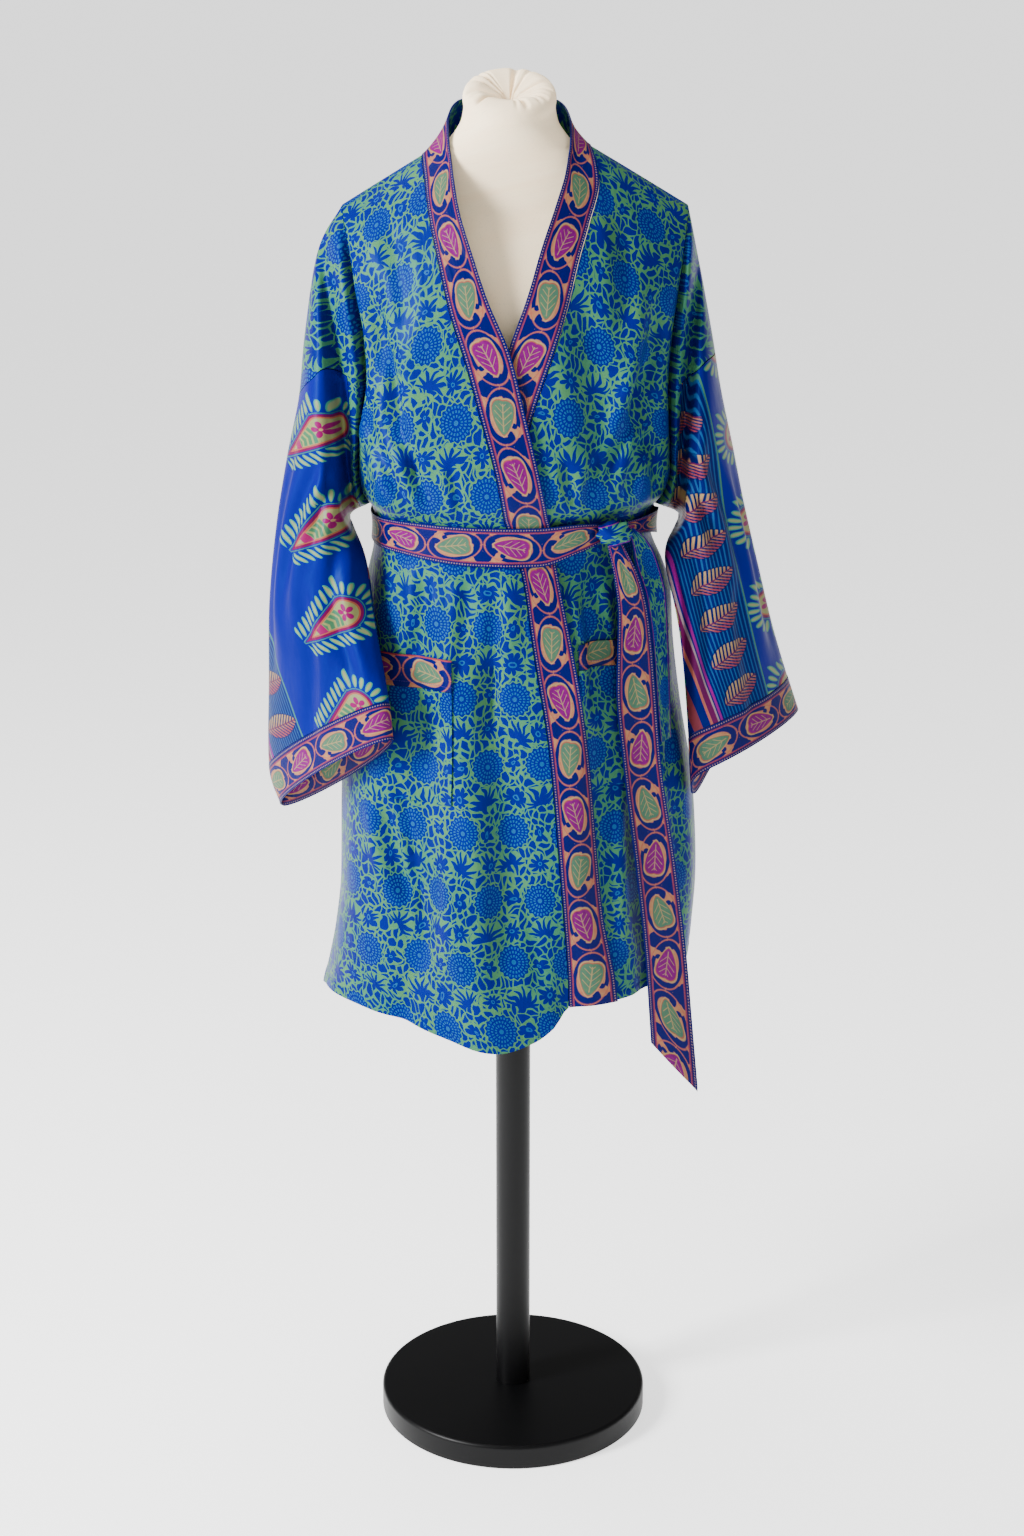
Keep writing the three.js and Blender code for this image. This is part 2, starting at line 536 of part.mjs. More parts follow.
// A neckband, from the hem up the front and round to the centre back
function neckband(key) {
  const over = key === 'right';
  const sign = over ? -1 : 1;
  const seamKey = over ? 'overSeam' : 'underSeam';
  const freeKey = over ? 'overFree' : 'underFree';
  const seamX = (z) => read(BAND_EDGES, 'z', seamKey, z) - sign * BAND_SEAM;
  const lifted = (side, across, z, raise) => (
    torsoPoint(side, across, z).addScaledVector(torsoNormal(side, across, z), raise)
  );
  const ladder = (seam, free, share) => {
    const middle = seam.clone().lerp(free, 0.5);
    middle.x -= sign * COLLAR_HOLLOW * share;
    return [seam, middle, free];
  };
  const grid = [];
  for (const height of [...LOW_ROWS, ...armholeRows].filter((row) => row < BAND_LEAVES_CHEST)) {
    grid.push([0, 0.5, 1].map((q) => {
      const across = acrossAt(mix(seamX(height), read(BAND_EDGES, 'z', freeKey, height), q), height);
      const z = rowHeight(-1, across, height, !over);
      return lifted(-1, across, z, (over ? lap(across) : 0) + BAND_PROUD);
    }));
  }
  const outKey = over ? 'outRight' : 'outLeft';
  for (const height of armholeRows.filter((row) => row > BAND_LEAVES_CHEST)) {
    const across = acrossAt(seamX(height), height);
    const raise = (over ? lap(across) : 0) + BAND_PROUD;
    const [out, y, z] = [outKey, 'y', 'z'].map((column) => read(COLLAR_FRONT, 'seamZ', column, height));
    const free = new THREE.Vector3(NECK_CENTRE + sign * out, y, z);
    grid.push(ladder(lifted(-1, across, height, raise), free, 1));
  }
  for (const { share, y, z, [outKey]: out } of COLLAR_BACK) {
    const x = NECK_CENTRE + sign * Math.max(share * NECK_HALF, out);
    const across = acrossAt(x, SHOULDER);
    const seam = lifted(1, across, backTop(across), BAND_PROUD);
    seam.z += COLLAR_GAP;
    grid.push(ladder(seam, new THREE.Vector3(NECK_CENTRE + sign * out, y, z), share));
  }
  const normals = gridNormals(grid, false, -sign);
  for (const normal of normals[normals.length - 1]) {
    normal.x = 0;
    normal.normalize();
  }
  return wall(grid, moved(grid, normals, -BAND_CLOTH), false);
}

// The armhole's own ring, and the rings of the hanging sleeve below it
function sleeveRing(sign, key, index, angle) {
  const cos = Math.cos(angle);
  const sin = Math.sin(angle);
  if (index === 0) {
    const middle = (SHOULDER + UNDERARM) / 2;
    const z = middle + (SHOULDER - middle) * cos;
    const half = read(TORSO, 'z', key, z);
    return new THREE.Vector3(sign * (half + SEAM), -(ARMHOLE_DEPTH + SEAM / 2) * sin, z);
  }
  const r = SLEEVE[key][index - 1];
  const out = new THREE.Vector3(sign * r.outX, r.outY, r.outZ);
  const inner = new THREE.Vector3(sign * r.inX, r.inY, r.inZ);
  const middle = out.clone().add(inner).multiplyScalar(0.5);
  const reach = out.clone().sub(inner).multiplyScalar(0.5);
  const flat = new THREE.Vector3(reach.x, reach.y, 0);
  const upright = clamp(Math.abs(reach.z) / (reach.length() + 1e-6), 0, 1);
  const facing = new THREE.Vector3(flat.y, -flat.x, 0).multiplyScalar(sign).normalize();
  const forward = facing.lerp(new THREE.Vector3(0, -1, 0), upright).normalize();
  const depth = sin > 0 ? r.front : r.back;
  const tip = sin * (sin > 0 ? r.rise : r.drop) - r.lobe * bump(angle - LOBE_ANGLE, LOBE_WIDTH);
  return middle.addScaledVector(reach, cos).addScaledVector(forward, depth * sin)
    .add(new THREE.Vector3(0, 0, tip));
}

// A point on the outside of a sleeve; along counts rings from the armhole, angle 0 is the outer edge
function sleevePoint(key, along, angle) {
  const sign = key === 'right' ? -1 : 1;
  const last = SLEEVE[key].length;
  const i = Math.min(last - 1, Math.floor(along));
  const t = along - i;
  const ring = (k) => sleeveRing(sign, key, clamp(k, 0, last), angle);
  const before = ring(i - 1);
  const from = ring(i);
  const to = ring(i + 1);
  const after = ring(i + 2);
  const m0 = (i === 0 ? to.clone().sub(from) : to.clone().sub(before).multiplyScalar(0.5));
  const m1 = (i + 1 === last ? to.clone().sub(from) : after.sub(from).multiplyScalar(0.5));
  const rise = to.clone().sub(from);
  const point = from.clone().addScaledVector(m0, t)
    .addScaledVector(rise.clone().multiplyScalar(3).addScaledVector(m0, -2).sub(m1), t * t)
    .addScaledVector(m0.clone().add(m1).addScaledVector(rise, -2), t * t * t);
  const front = Math.max(0, Math.sin(angle)) ** 0.7;
  const push = SIDE_FOLD.out * bump(along - SIDE_FOLD.at, SIDE_FOLD.width)
    + SIDE_GROOVE.out * bump(along - SIDE_GROOVE.at, SIDE_GROOVE.width);
  point.y -= push * front * smooth(along / 0.12);
  return point;
}

const headEnd = (key, angle) => {
  const { outer, underarm } = HEAD_END[key];
  return mix(underarm, outer, Math.max(0, Math.cos(angle)) ** 0.9);
};

// The sleeve's outward direction at a place, and how far one ring's step reaches there
function sleeveFrame(key, along, angle) {
  const step = 0.03;
  const last = SLEEVE[key].length;
  const low = Math.max(0, along - step);
  const high = Math.min(last, along + step);
  const down = sleevePoint(key, high, angle).sub(sleevePoint(key, low, angle)).divideScalar(high - low);
  const round = sleevePoint(key, along, angle + step).sub(sleevePoint(key, along, angle - step));
  const normal = round.cross(down).multiplyScalar(key === 'right' ? 1 : -1).normalize();
  return { normal, reach: down.length() };
}

// A tube of the sleeve between two lines round it
function sleeveTube(key, from, to, rows, thick, raise) {
  const grid = [];
  const normals = [];
  for (let r = 0; r <= rows; r += 1) {
    const row = [];
    const rowNormals = [];
    for (let c = 0; c < SLEEVE_SIDES; c += 1) {
      const angle = (2 * Math.PI * c) / SLEEVE_SIDES;
      const along = mix(from(angle), to(angle), r / rows);
      const { normal } = sleeveFrame(key, along, angle);
      if (along === 0) {
        normal.x = 0;
        normal.normalize();
      }
      row.push(sleevePoint(key, along, angle).addScaledVector(normal, raise));
      rowNormals.push(normal);
    }
    grid.push(row);
    normals.push(rowNormals);
  }
  return wall(grid, moved(grid, normals, -thick), true);
}

// The waist belt: a closed loop of flat band laid on the torso's own points, moved out
function waistBelt() {
  const loop = [];
  for (let i = 0; i < BELT_STEPS; i += 1) loop.push({ side: -1, across: mix(-1, 1, i / BELT_STEPS) });
  for (let i = 0; i < BELT_STEPS; i += 1) loop.push({ side: 1, across: mix(1, -1, i / BELT_STEPS) });
  const outer = [];
  const inner = [];
  for (const level of [-1, 0, 1]) {
    const outerRow = [];
    const innerRow = [];
    for (const { side, across } of loop) {
      const column = side < 0 ? 'front' : 'back';
      const half = read(BELT, 'across', `${column}Half`, across);
      const z = read(BELT, 'across', column, across) + level * half;
      const normal = torsoNormal(side, across, WAIST);
      normal.z = 0;
      normal.normalize();
      const point = torsoPoint(side, across, z).addScaledVector(normal, BELT_OFF + (side < 0 ? lap(across) : 0));
      innerRow.push(point);
      outerRow.push(point.clone().addScaledVector(normal, BELT_THICK));
    }
    inner.push(innerRow);
    outer.push(outerRow);
  }
  return wall(outer, inner, true);
}

// The knot: a rounded lump with the belt's turn over it as a raised diagonal band
function beltKnot() {
  const geometry = new THREE.SphereGeometry(1, 20, 14);
  geometry.deleteAttribute('normal');
  geometry.deleteAttribute('uv');
  const ball = mergeVertices(geometry, 1e-4);
  const place = ball.getAttribute('position');
  const point = new THREE.Vector3();
  for (let i = 0; i < place.count; i += 1) {
    point.fromBufferAttribute(place, i);
    const turnOver = bump(point.x * 0.8 + point.z * 0.6, 0.42);
    const waist = bump(point.x + 0.75, 0.25) * 0.16;
    point.multiplyScalar(0.9 + 0.2 * turnOver - waist);
    place.setXYZ(i, point.x * KNOT.halfWidth, point.y * KNOT.halfDepth, point.z * KNOT.halfHeight);
  }
  ball.rotateY(-KNOT.turn);
  ball.translate(KNOT.x, KNOT.y, KNOT.z);
  return ball;
}

// A hanging end of the belt: a flat ribbon between the two edges in a table, with its foot cut on a slant
function beltEnd(table, low, cut, steps) {
  const top = table[table.length - 1].z;
  const rows = [];
  for (let i = 0; i <= steps; i += 1) {
    const level = mix(low, top, i / steps);
    rows.push([0, 0.5, 1].map((q) => {
      const z = level + cut * (0.5 - q) * (1 - smooth((level - low) / (2.5 * cut + 1)));
      const x = mix(read(table, 'z', 'leftX', z), read(table, 'z', 'rightX', z), q);
      return new THREE.Vector3(x, mix(read(table, 'z', 'leftY', z), read(table, 'z', 'rightY', z), q), z);
    }));
  }
  return wall(rows, moved(rows, gridNormals(rows, false, 1), -CLOTH), false);
}

// A patch pocket or its border band: part of the front panel's own grid, moved out
function pocketPiece(grid, from, to, topGap) {
  const first = grid.heights.indexOf(from);
  const last = grid.heights.indexOf(to);
  const cut = (rows) => rows.slice(first, last + 1)
    .map((row) => row.slice(POCKET_FAR_COLUMN, POCKET_NEAR_COLUMN + 1).map((point) => point.clone()));
  const points = cut(grid.points);
  const normals = cut(grid.normals);
  const top = points.length - 1;
  points[top].forEach((point, c) => point.lerp(points[top - 1][c], topGap / (to - grid.heights[last - 1])));
  const raised = moved(points, normals, POCKET_GAP + CLOTH);
  return wall(raised, moved(raised, normals, -CLOTH), false);
}

// The dress form: stacked oval rings, closed by a flat underside and a gathered neck cap
function dressForm() {
  const points = [];
  const faces = [];
  for (const row of FORM) {
    for (let c = 0; c < FORM_SIDES; c += 1) {
      const angle = (2 * Math.PI * c) / FORM_SIDES;
      const y = Math.sin(angle) * (Math.sin(angle) < 0 ? row.front : row.back);
      const shift = FORM_NECK_SHIFT * smooth((row.z - FORM_NECK_FROM) / FORM_NECK_FADE);
      points.push(new THREE.Vector3(shift + row.half * Math.cos(angle), y, row.z + row.tilt * y));
    }
  }
  const at = (r, c) => r * FORM_SIDES + (c % FORM_SIDES);
  for (let r = 0; r < FORM.length - 1; r += 1) {
    for (let c = 0; c < FORM_SIDES; c += 1) {
      faces.push(at(r, c), at(r, c + 1), at(r + 1, c + 1), at(r, c), at(r + 1, c + 1), at(r + 1, c));
    }
  }
  const low = points.push(new THREE.Vector3(0, 0, FORM[0].z)) - 1;
  const high = points.push(new THREE.Vector3(FORM_NECK_SHIFT, 0, FORM_DIMPLE)) - 1;
  for (let c = 0; c < FORM_SIDES; c += 1) {
    faces.push(low, at(0, c + 1), at(0, c));
    faces.push(high, at(FORM.length - 1, c), at(FORM.length - 1, c + 1));
  }
  return solidFrom(points, faces);
}

// A turned solid from a profile of [radius, height] pairs that starts and ends on the axis
function turned(profile, sides) {
  const geometry = new THREE.LatheGeometry(profile.map(([r, z]) => new THREE.Vector2(r, z)), sides);
  geometry.rotateX(Math.PI / 2);
  geometry.deleteAttribute('normal');
  geometry.deleteAttribute('uv');
  return mergeVertices(geometry, 1e-4);
}

const roundedEdge = (radius, low, high, round) => {
  const steps = 4;
  const corner = (centreZ, from) => Array.from({ length: steps + 1 }, (_, i) => {
    const angle = from + (Math.PI / 2) * (i / steps);
    return [radius - round + round * Math.cos(angle), centreZ + round * Math.sin(angle)];
  });
  return [[0, low], [radius - 1.5, low], [radius, low + 1.5], ...corner(high - round, 0), [0, high]];
};

const robe = new THREE.Group();

function add(name, geometry, colour, roughness, metalness = 0) {
  const material = new THREE.MeshStandardMaterial({ color: colour, roughness, metalness });
  const mesh = new THREE.Mesh(geometry, material);
  mesh.name = name;
  robe.add(mesh);
}

add('stand_base', turned(roundedEdge(BASE_RADIUS, 0, BASE_HEIGHT, BASE_ROUND), 56), COLOURS.metal, 0.45);
add('stand_pole', turned([
  [0, BASE_HEIGHT + TOUCH], [POLE_RADIUS, BASE_HEIGHT + TOUCH],
  [POLE_RADIUS, FORM_BOTTOM - TOUCH], [0, FORM_BOTTOM - TOUCH],
], 32), COLOURS.metal, 0.4);
add('dress_form', dressForm(), COLOURS.calico, 0.9);
add('back', panelWall(backGrid(), CLOTH), COLOURS.print, 0.5);
for (const key of ['right', 'left']) {
  const grid = frontGrid(key);
  const { top, bandLow, low } = POCKETS[key];
  add(`front_${key}`, panelWall(grid, CLOTH), COLOURS.print, 0.5);
  add(`neckband_${key}`, neckband(key), COLOURS.border, 0.5);
  add(`pocket_${key}`, pocketPiece(grid, low, bandLow, SEAM), COLOURS.print, 0.5);
  add(`pocket_band_${key}`, pocketPiece(grid, bandLow, top, 0), COLOURS.border, 0.5);
}
for (const key of ['right', 'left']) {
  const end = (angle) => headEnd(key, angle);
  const start = (angle) => end(angle) + SEAM / sleeveFrame(key, end(angle), angle).reach;
  const cuffLine = (angle) => CUFF_FROM - CUFF_GAP / sleeveFrame(key, CUFF_FROM, angle).reach;
  add(`sleeve_head_${key}`, sleeveTube(key, () => 0, end, HEAD_ROWS, CLOTH, 0), COLOURS.print, 0.5);
  add(`sleeve_${key}`, sleeveTube(key, start, cuffLine, PANEL_ROWS, CLOTH, 0), COLOURS.blue, 0.4);
  const cuff = sleeveTube(key, () => CUFF_FROM, () => CUFF_TO, 2, BAND_CLOTH, BAND_PROUD);
  add(`cuff_${key}`, cuff, COLOURS.border, 0.5);
}
add('belt_waist', waistBelt(), COLOURS.belt, 0.5);
add('belt_knot', beltKnot(), COLOURS.belt, 0.5);
add('belt_end_long', beltEnd(LONG_END, LONG_END_LOW, LONG_END_CUT, 15), COLOURS.belt, 0.5);
add('belt_end_short', beltEnd(SHORT_END, SHORT_END_LOW, 0, 12), COLOURS.belt, 0.5);

export default robe;
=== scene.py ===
# %% [markdown]
# # A wrap robe of printed sari silk on its dress form
#
# The robe is cut like a kimono: straight fronts and back, dropped shoulders, wide sleeves with border
# cuffs, and one long border band round the neck and down both fronts. A belt of the same border ties it.
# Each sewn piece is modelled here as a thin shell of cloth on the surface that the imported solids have,
# with finer folds and its own printed pattern. All lengths in the tables are millimetres.

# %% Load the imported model
import math

import bpy
import numpy as np
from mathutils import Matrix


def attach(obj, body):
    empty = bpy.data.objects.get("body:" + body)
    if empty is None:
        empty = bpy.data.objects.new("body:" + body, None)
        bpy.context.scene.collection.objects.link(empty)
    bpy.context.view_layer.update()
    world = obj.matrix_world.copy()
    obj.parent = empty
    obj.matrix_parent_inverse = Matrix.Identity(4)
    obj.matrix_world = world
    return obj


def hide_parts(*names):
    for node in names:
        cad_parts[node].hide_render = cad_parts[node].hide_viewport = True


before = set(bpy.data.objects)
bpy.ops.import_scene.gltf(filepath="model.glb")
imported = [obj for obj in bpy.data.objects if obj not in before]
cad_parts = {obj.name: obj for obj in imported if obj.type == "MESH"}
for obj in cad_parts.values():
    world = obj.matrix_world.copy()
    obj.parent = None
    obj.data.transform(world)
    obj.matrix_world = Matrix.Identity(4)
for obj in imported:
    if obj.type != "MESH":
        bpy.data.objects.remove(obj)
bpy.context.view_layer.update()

# %% [markdown]
# ## Camera
#
# The photograph was taken from about three metres away, at head height, looking down by 17.5 degrees.
# The base's ellipse and the nearly level collar fix both numbers.

# %% The camera
CAMERA_ASIDE = -0.0013
CAMERA_BACK = 3.03
CAMERA_HIGH = 1.796
CAMERA_DOWN = 17.5
CAMERA_LENS = 63.2
CAMERA_SENSOR = 36.0

camera_data = bpy.data.cameras.new("camera")
camera_data.lens = CAMERA_LENS
camera_data.sensor_width = CAMERA_SENSOR
camera = bpy.data.objects.new("camera", camera_data)
camera.location = (CAMERA_ASIDE, -CAMERA_BACK, CAMERA_HIGH)
camera.rotation_euler = (math.radians(90 - CAMERA_DOWN), 0, 0)
bpy.context.collection.objects.link(camera)
bpy.context.scene.camera = camera
print("camera at", tuple(round(v, 3) for v in camera.location))

# %% [markdown]
# ## Light and floor
#
# A plain studio: a white floor, an even world, one large soft light from the upper left, a much weaker one
# from the right and a small one from above. The satin's glow on the wearer's right side comes from the
# large light.

# %% Floor and lights
WHITE = (1.0, 1.0, 1.0, 1.0)
WORLD_STRENGTH = 0.28
FLOOR_HALF = 200.0


def add_light(name, size, power, place, aim):
    """A soft light, its size and places in metres and its power in watts."""
    data = bpy.data.lights.new(name, "AREA")
    data.shape = "RECTANGLE"
    data.size, data.size_y = size
    data.energy = power
    light = bpy.data.objects.new(name, data)
    light.location = place
    direction = np.array(aim) - np.array(place)
    yaw = math.atan2(direction[0], -direction[1])
    pitch = math.atan2(-direction[2], math.hypot(direction[0], direction[1]))
    light.rotation_euler = (math.radians(90) - pitch, 0, yaw + math.pi)
    bpy.context.collection.objects.link(light)


add_light("key", (0.9, 1.5), 430, (-3.0, -1.6, 2.4), (0, 0, 1.1))
add_light("fill", (1.8, 2.4), 30, (2.8, -2.4, 1.6), (0, 0, 1.0))
add_light("top", (1.6, 1.6), 60, (-0.4, 0.4, 3.4), (0, 0, 1.0))

world = bpy.data.worlds.new("studio")
world.use_nodes = True
background = world.node_tree.nodes["Background"]
background.inputs["Color"].default_value = WHITE
background.inputs["Strength"].default_value = WORLD_STRENGTH
bpy.context.scene.world = world

corners = [(FLOOR_HALF * x, FLOOR_HALF * y, 0) for x, y in ((-1, -1), (1, -1), (1, 1), (-1, 1))]
floor_mesh = bpy.data.meshes.new("floor")
floor_mesh.from_pydata(corners, [], [(0, 1, 2, 3)])
floor = bpy.data.objects.new("floor", floor_mesh)
bpy.context.collection.objects.link(floor)

# %% [markdown]
# ## Writing a finish as sums
#
# A print is a picture made of simple shapes, and each shape is a sum on the cloth's own coordinates.
# `Value` wraps one output of a shader, so that Python's operators add the Math nodes, and `Finish` holds
# one material and makes every other node.

# %% Values and finishes
DYE_POWER = 1.3
DYE_DEPTH = 0.27


def linear(red, green, blue):
    """A colour as the eye names it, 0 to 255, turned into the light it stands for."""
    parts = [v / 255 for v in (red, green, blue)]
    return tuple(v / 12.92 if v <= 0.04045 else ((v + 0.055) / 1.055) ** 2.4 for v in parts) + (1.0,)


def dye(red, green, blue):
    """A printed colour, made deeper than named: the picture's view transform lightens strong colours."""
    return tuple(DYE_DEPTH * v**DYE_POWER for v in linear(red, green, blue)[:3]) + (1.0,)


class Value:
    """One number, vector or colour that a shader works out at each point."""

    def __init__(self, socket, finish):
        self.socket = socket
        self.finish = finish

    def _math(self, operation, *others, clamp=False):
        sockets = {i: v for i, v in enumerate((self, *others))}
        settings = {"operation": operation, "use_clamp": clamp}
        return self.finish.node("ShaderNodeMath", settings, sockets)

    def __add__(self, other): return self._math("ADD", other)
    def __sub__(self, other): return self._math("SUBTRACT", other)
    def __mul__(self, other): return self._math("MULTIPLY", other)
    def __truediv__(self, other): return self._math("DIVIDE", other)
    def __pow__(self, other): return self._math("POWER", other)
    def __neg__(self): return self._math("MULTIPLY", -1.0)
    def __lt__(self, other): return self._math("LESS_THAN", other)
    def __gt__(self, other): return self._math("GREATER_THAN", other)
    def __radd__(self, other): return self._math("ADD", other)
    def __rsub__(self, other): return (-self)._math("ADD", other)
    def __abs__(self): return self._math("ABSOLUTE")
    def sin(self): return self._math("SINE")
    def cos(self): return self._math("COSINE")
    def root(self): return self._math("SQRT")
    def floor(self): return self._math("FLOOR")
    def part(self): return self._math("FRACT")
    def repeat(self, period): return self._math("FLOORED_MODULO", period)
    def least(self, other): return self._math("MINIMUM", other)
    def most(self, other): return self._math("MAXIMUM", other)
    def turn(self, other): return self._math("ARCTAN2", other)
    def inside(self, soft=0.5): return self._math("MULTIPLY_ADD", -1.0 / soft, 0.5, clamp=True)


class Finish:
    """One material and the nodes that are made for it."""

    def __init__(self, name, **surface):
        self.material = bpy.data.materials.new(name)
        self.material.use_nodes = True
        self.tree = self.material.node_tree
        self.shader = self.tree.nodes["Principled BSDF"]
        for socket, value in surface.items():
            self.shader.inputs[socket.replace("_", " ")].default_value = value

    def node(self, kind, settings=None, sockets=None, output=0):
        made = self.tree.nodes.new(kind)
        for key, value in (settings or {}).items():
            setattr(made, key, value)
        for key, value in (sockets or {}).items():
            if isinstance(value, Value):
                self.tree.links.new(value.socket, made.inputs[key])
            else:
                made.inputs[key].default_value = value
        if isinstance(output, tuple):
            return [Value(made.outputs[o], self) for o in output]
        return Value(made.outputs[output], self)

    def cloth(self):
        """The two coordinates of the flat cloth, in millimetres."""
        uv = self.node("ShaderNodeUVMap", {"uv_map": "cloth"})
        x, y = self.split(uv, 0, 1)
        return x * 1000, y * 1000

    def vector(self, x, y, z=0.0):
        return self.node("ShaderNodeCombineXYZ", None, {0: x, 1: y, 2: z})

    def split(self, vector, *outputs):
        return self.node("ShaderNodeSeparateXYZ", None, {0: vector}, outputs)

    def noise(self, place, scale, detail=2.0, rough=0.5, output=0):
        sockets = {"Vector": place, "Scale": scale, "Detail": detail, "Roughness": rough}
        return self.node("ShaderNodeTexNoise", {"noise_dimensions": "2D"}, sockets, output)

    def over(self, below, above, mask):
        """The colour above laid on the colour below where the mask is 1."""
        return self.node("ShaderNodeMix", {"data_type": "RGBA"}, {0: mask, 6: below, 7: above}, 2)

    def layers(self, colour, *inks):
        """Each ink laid on the colour in turn, where its mask is 1."""
        for ink, mask in inks:
            colour = self.over(colour, ink, mask)
        return colour

    def put(self, socket, value):
        self.tree.links.new(value.socket, self.shader.inputs[socket])

    def relief(self, strength, distance, height):
        """Shapes too fine to model, as a bump."""
        sockets = {"Strength": strength, "Distance": distance, "Height": height}
        self.put("Normal", self.node("ShaderNodeBump", None, sockets))


def distance(x, y):
    return (x * x + y * y).root()


def within(place, step):
    """Place within one repeat, 0 in its middle."""
    return (place / step).part() * step - step / 2


def leaned(x, y, lean):
    """The two coordinates in axes that are turned by an angle."""
    return x * math.cos(lean) + y * math.sin(lean), y * math.cos(lean) - x * math.sin(lean)


print("the finishes are ready to be written")

# %% [markdown]
# ## The body print
#
# Block-printed flowers in royal blue on sage green fill the cloth. Seen closely there are four motifs on
# a staggered lattice: a round rosette with rings of dots, a fan of pointed leaves, a daisy and a small
# flower. Loose petals fill what is left. Each motif clears a thin green halo round itself.

# %% Lattice, petals and the body print
ROSETTE_WIDE = 64.0
ROSETTE_TALL = 78.0
ROSETTE_RADIUS = 18.2
ROSETTE_RING = 4.3
PETALS_SCALE = 0.128
BLUE = dye(0, 34, 172)
LIGHT_BLUE = dye(70, 165, 228)


def lattice(finish, x, y, seed, wander):
    """Place within the nearest cell of a half-drop lattice, and a random number for the cell."""
    row = (y / ROSETTE_TALL).floor()
    shifted = x / ROSETTE_WIDE + row * 0.5
    column = shifted.floor()
    noise = finish.node("ShaderNodeTexWhiteNoise", {"noise_dimensions": "3D"},
                        {0: finish.vector(column, row, seed)}, "Color")
    jitter_x, jitter_y, chance = finish.split(noise, 0, 1, 2)
    local_x = (shifted - column - 0.5) * ROSETTE_WIDE - (jitter_x - 0.5) * wander
    local_y = (y / ROSETTE_TALL - row - 0.5) * ROSETTE_TALL - (jitter_y - 0.5) * wander
    return local_x, local_y, chance


def rosette(x, y):
    """Halo, blue body and pale dots of a round flower with rings."""
    radius = (x * x + y * y * 0.86).root()
    turn = y.turn(x)
    edge = radius - (ROSETTE_RADIUS + (turn * 16).sin())
    ring = radius / ROSETTE_RING
    dots = ((turn * (7 + ring.floor() * 7)).sin() > -0.1) * (abs(ring.part() - 0.5) < 0.3)
    pale = dots * (radius > 4.2) * (radius < 16.4) + (radius < 2.6)
    return (edge - 1.3).inside(), edge.inside(), pale


def fan(x, y, chance):
    """A fan of pointed leaves that open upwards."""
    turn_by = (chance - 0.5) * 1.4
    across = x * turn_by.cos() - (y + 8) * turn_by.sin()
    up = x * turn_by.sin() + (y + 8) * turn_by.cos()
    radius = distance(across, up)
    turn = across.turn(up)
    reach = 16.5 + turn.cos() * 5.5
    share = radius / reach
    leaf = abs((turn / 0.46 + 0.5).part() - 0.5) * 0.46 * radius
    half = (share * (1.02 - share) * 4).most(0).root() * 2.1
    blade = leaf - half
    open_side = abs(turn) - 1.62
    body = blade.most(open_side * 8)
    halo = (radius - reach - 1.2).most(open_side * 6)
    return halo.inside(), body.inside(), None


def daisy(x, y, petals, size, turn_by):
    """A flower of rounded petals with a pale eye."""
    radius = distance(x, y)
    turn = y.turn(x) + turn_by
    petal = abs((turn * (petals / 2)).cos()).most(0.0001) ** 0.6
    edge = radius - (petal * 0.55 + 0.45) * size
    eye = abs(radius - size * 0.2) < 0.8
    return (radius - size - 1.4).inside(), edge.inside(), eye


def body_print(finish):
    """Colour of the printed body cloth, and a mask of the blue."""
    x, y = finish.cloth()
    place = finish.vector(x, y)
    warp_x, warp_y = finish.split(finish.noise(place, 0.045, 1.0, output="Color"), 0, 1)
    near_x = x + (warp_x - 0.5) * 16
    near_y = y + (warp_y - 0.5) * 16
    petals = finish.vector(near_x, near_y * 0.74)
    cells = {"Vector": petals, "Scale": PETALS_SCALE, "Randomness": 0.9}
    edge_kind = {"voronoi_dimensions": "2D", "feature": "DISTANCE_TO_EDGE"}
    edge = finish.node("ShaderNodeTexVoronoi", edge_kind, cells)
    kind = finish.node("ShaderNodeTexVoronoi", {"voronoi_dimensions": "2D"}, cells, "Color")
    chance = finish.split(kind, 0)[0]
    blue = (edge * -7.8 + (0.6 + chance * chance * 1.2)).inside(0.5)
    pale = blue * 0
    motifs = [
        daisy(*lattice(finish, near_x + 32, near_y, 3.0, 8)[:2], 5, 9.5, 0.4),
        daisy(*lattice(finish, near_x + 32, near_y + 39, 5.0, 6)[:2], 9, 12.5, 0.1),
        fan(*lattice(finish, near_x, near_y + 39, 7.0, 5)),
        rosette(*lattice(finish, x, y, 9.0, 7)[:2]),
    ]
    for halo, body, dots in motifs:
        blue = blue * (1 - halo) + body
        if dots is not None:
            pale = (pale * (1 - halo) + dots * body).least(1)
    blue = blue.least(1)
    tone = finish.noise(place, 0.012, 3.0)
    ink = finish.over(BLUE, dye(2, 58, 206), tone)
    ground = finish.over(dye(96, 190, 158), dye(150, 214, 140), tone)
    colour = finish.over(ground, ink, blue)
    return finish.over(colour, LIGHT_BLUE, pale * 0.75), blue


print("motifs stand every", ROSETTE_WIDE, "by", ROSETTE_TALL, "mm")

# %% [markdown]
# ## Silk
#
# Sari silk is a satin: smooth, with a soft broad shine. The shine is a middling roughness, a fine weave
# that breaks it up, and small ripples that are too shallow to model.

# %% Silk surface
def silk(finish, print_height=None):
    """Weave and small ripples, as a bump under the colour."""
    x, y = finish.cloth()
    ripple = finish.noise(finish.vector(x, y * 0.35), 0.035, 3.0, 0.55)
    slub = finish.noise(finish.vector(x * 0.2, y * 3.0), 0.6, 2.0, 0.6)
    height = ripple * 2.6 + slub * 0.05
    if print_height is not None:
        height = height + print_height * 0.03
    finish.relief(0.55, 0.001, height)
    finish.put("Roughness", finish.noise(finish.vector(x, y), 0.02) * 0.14 + 0.36)


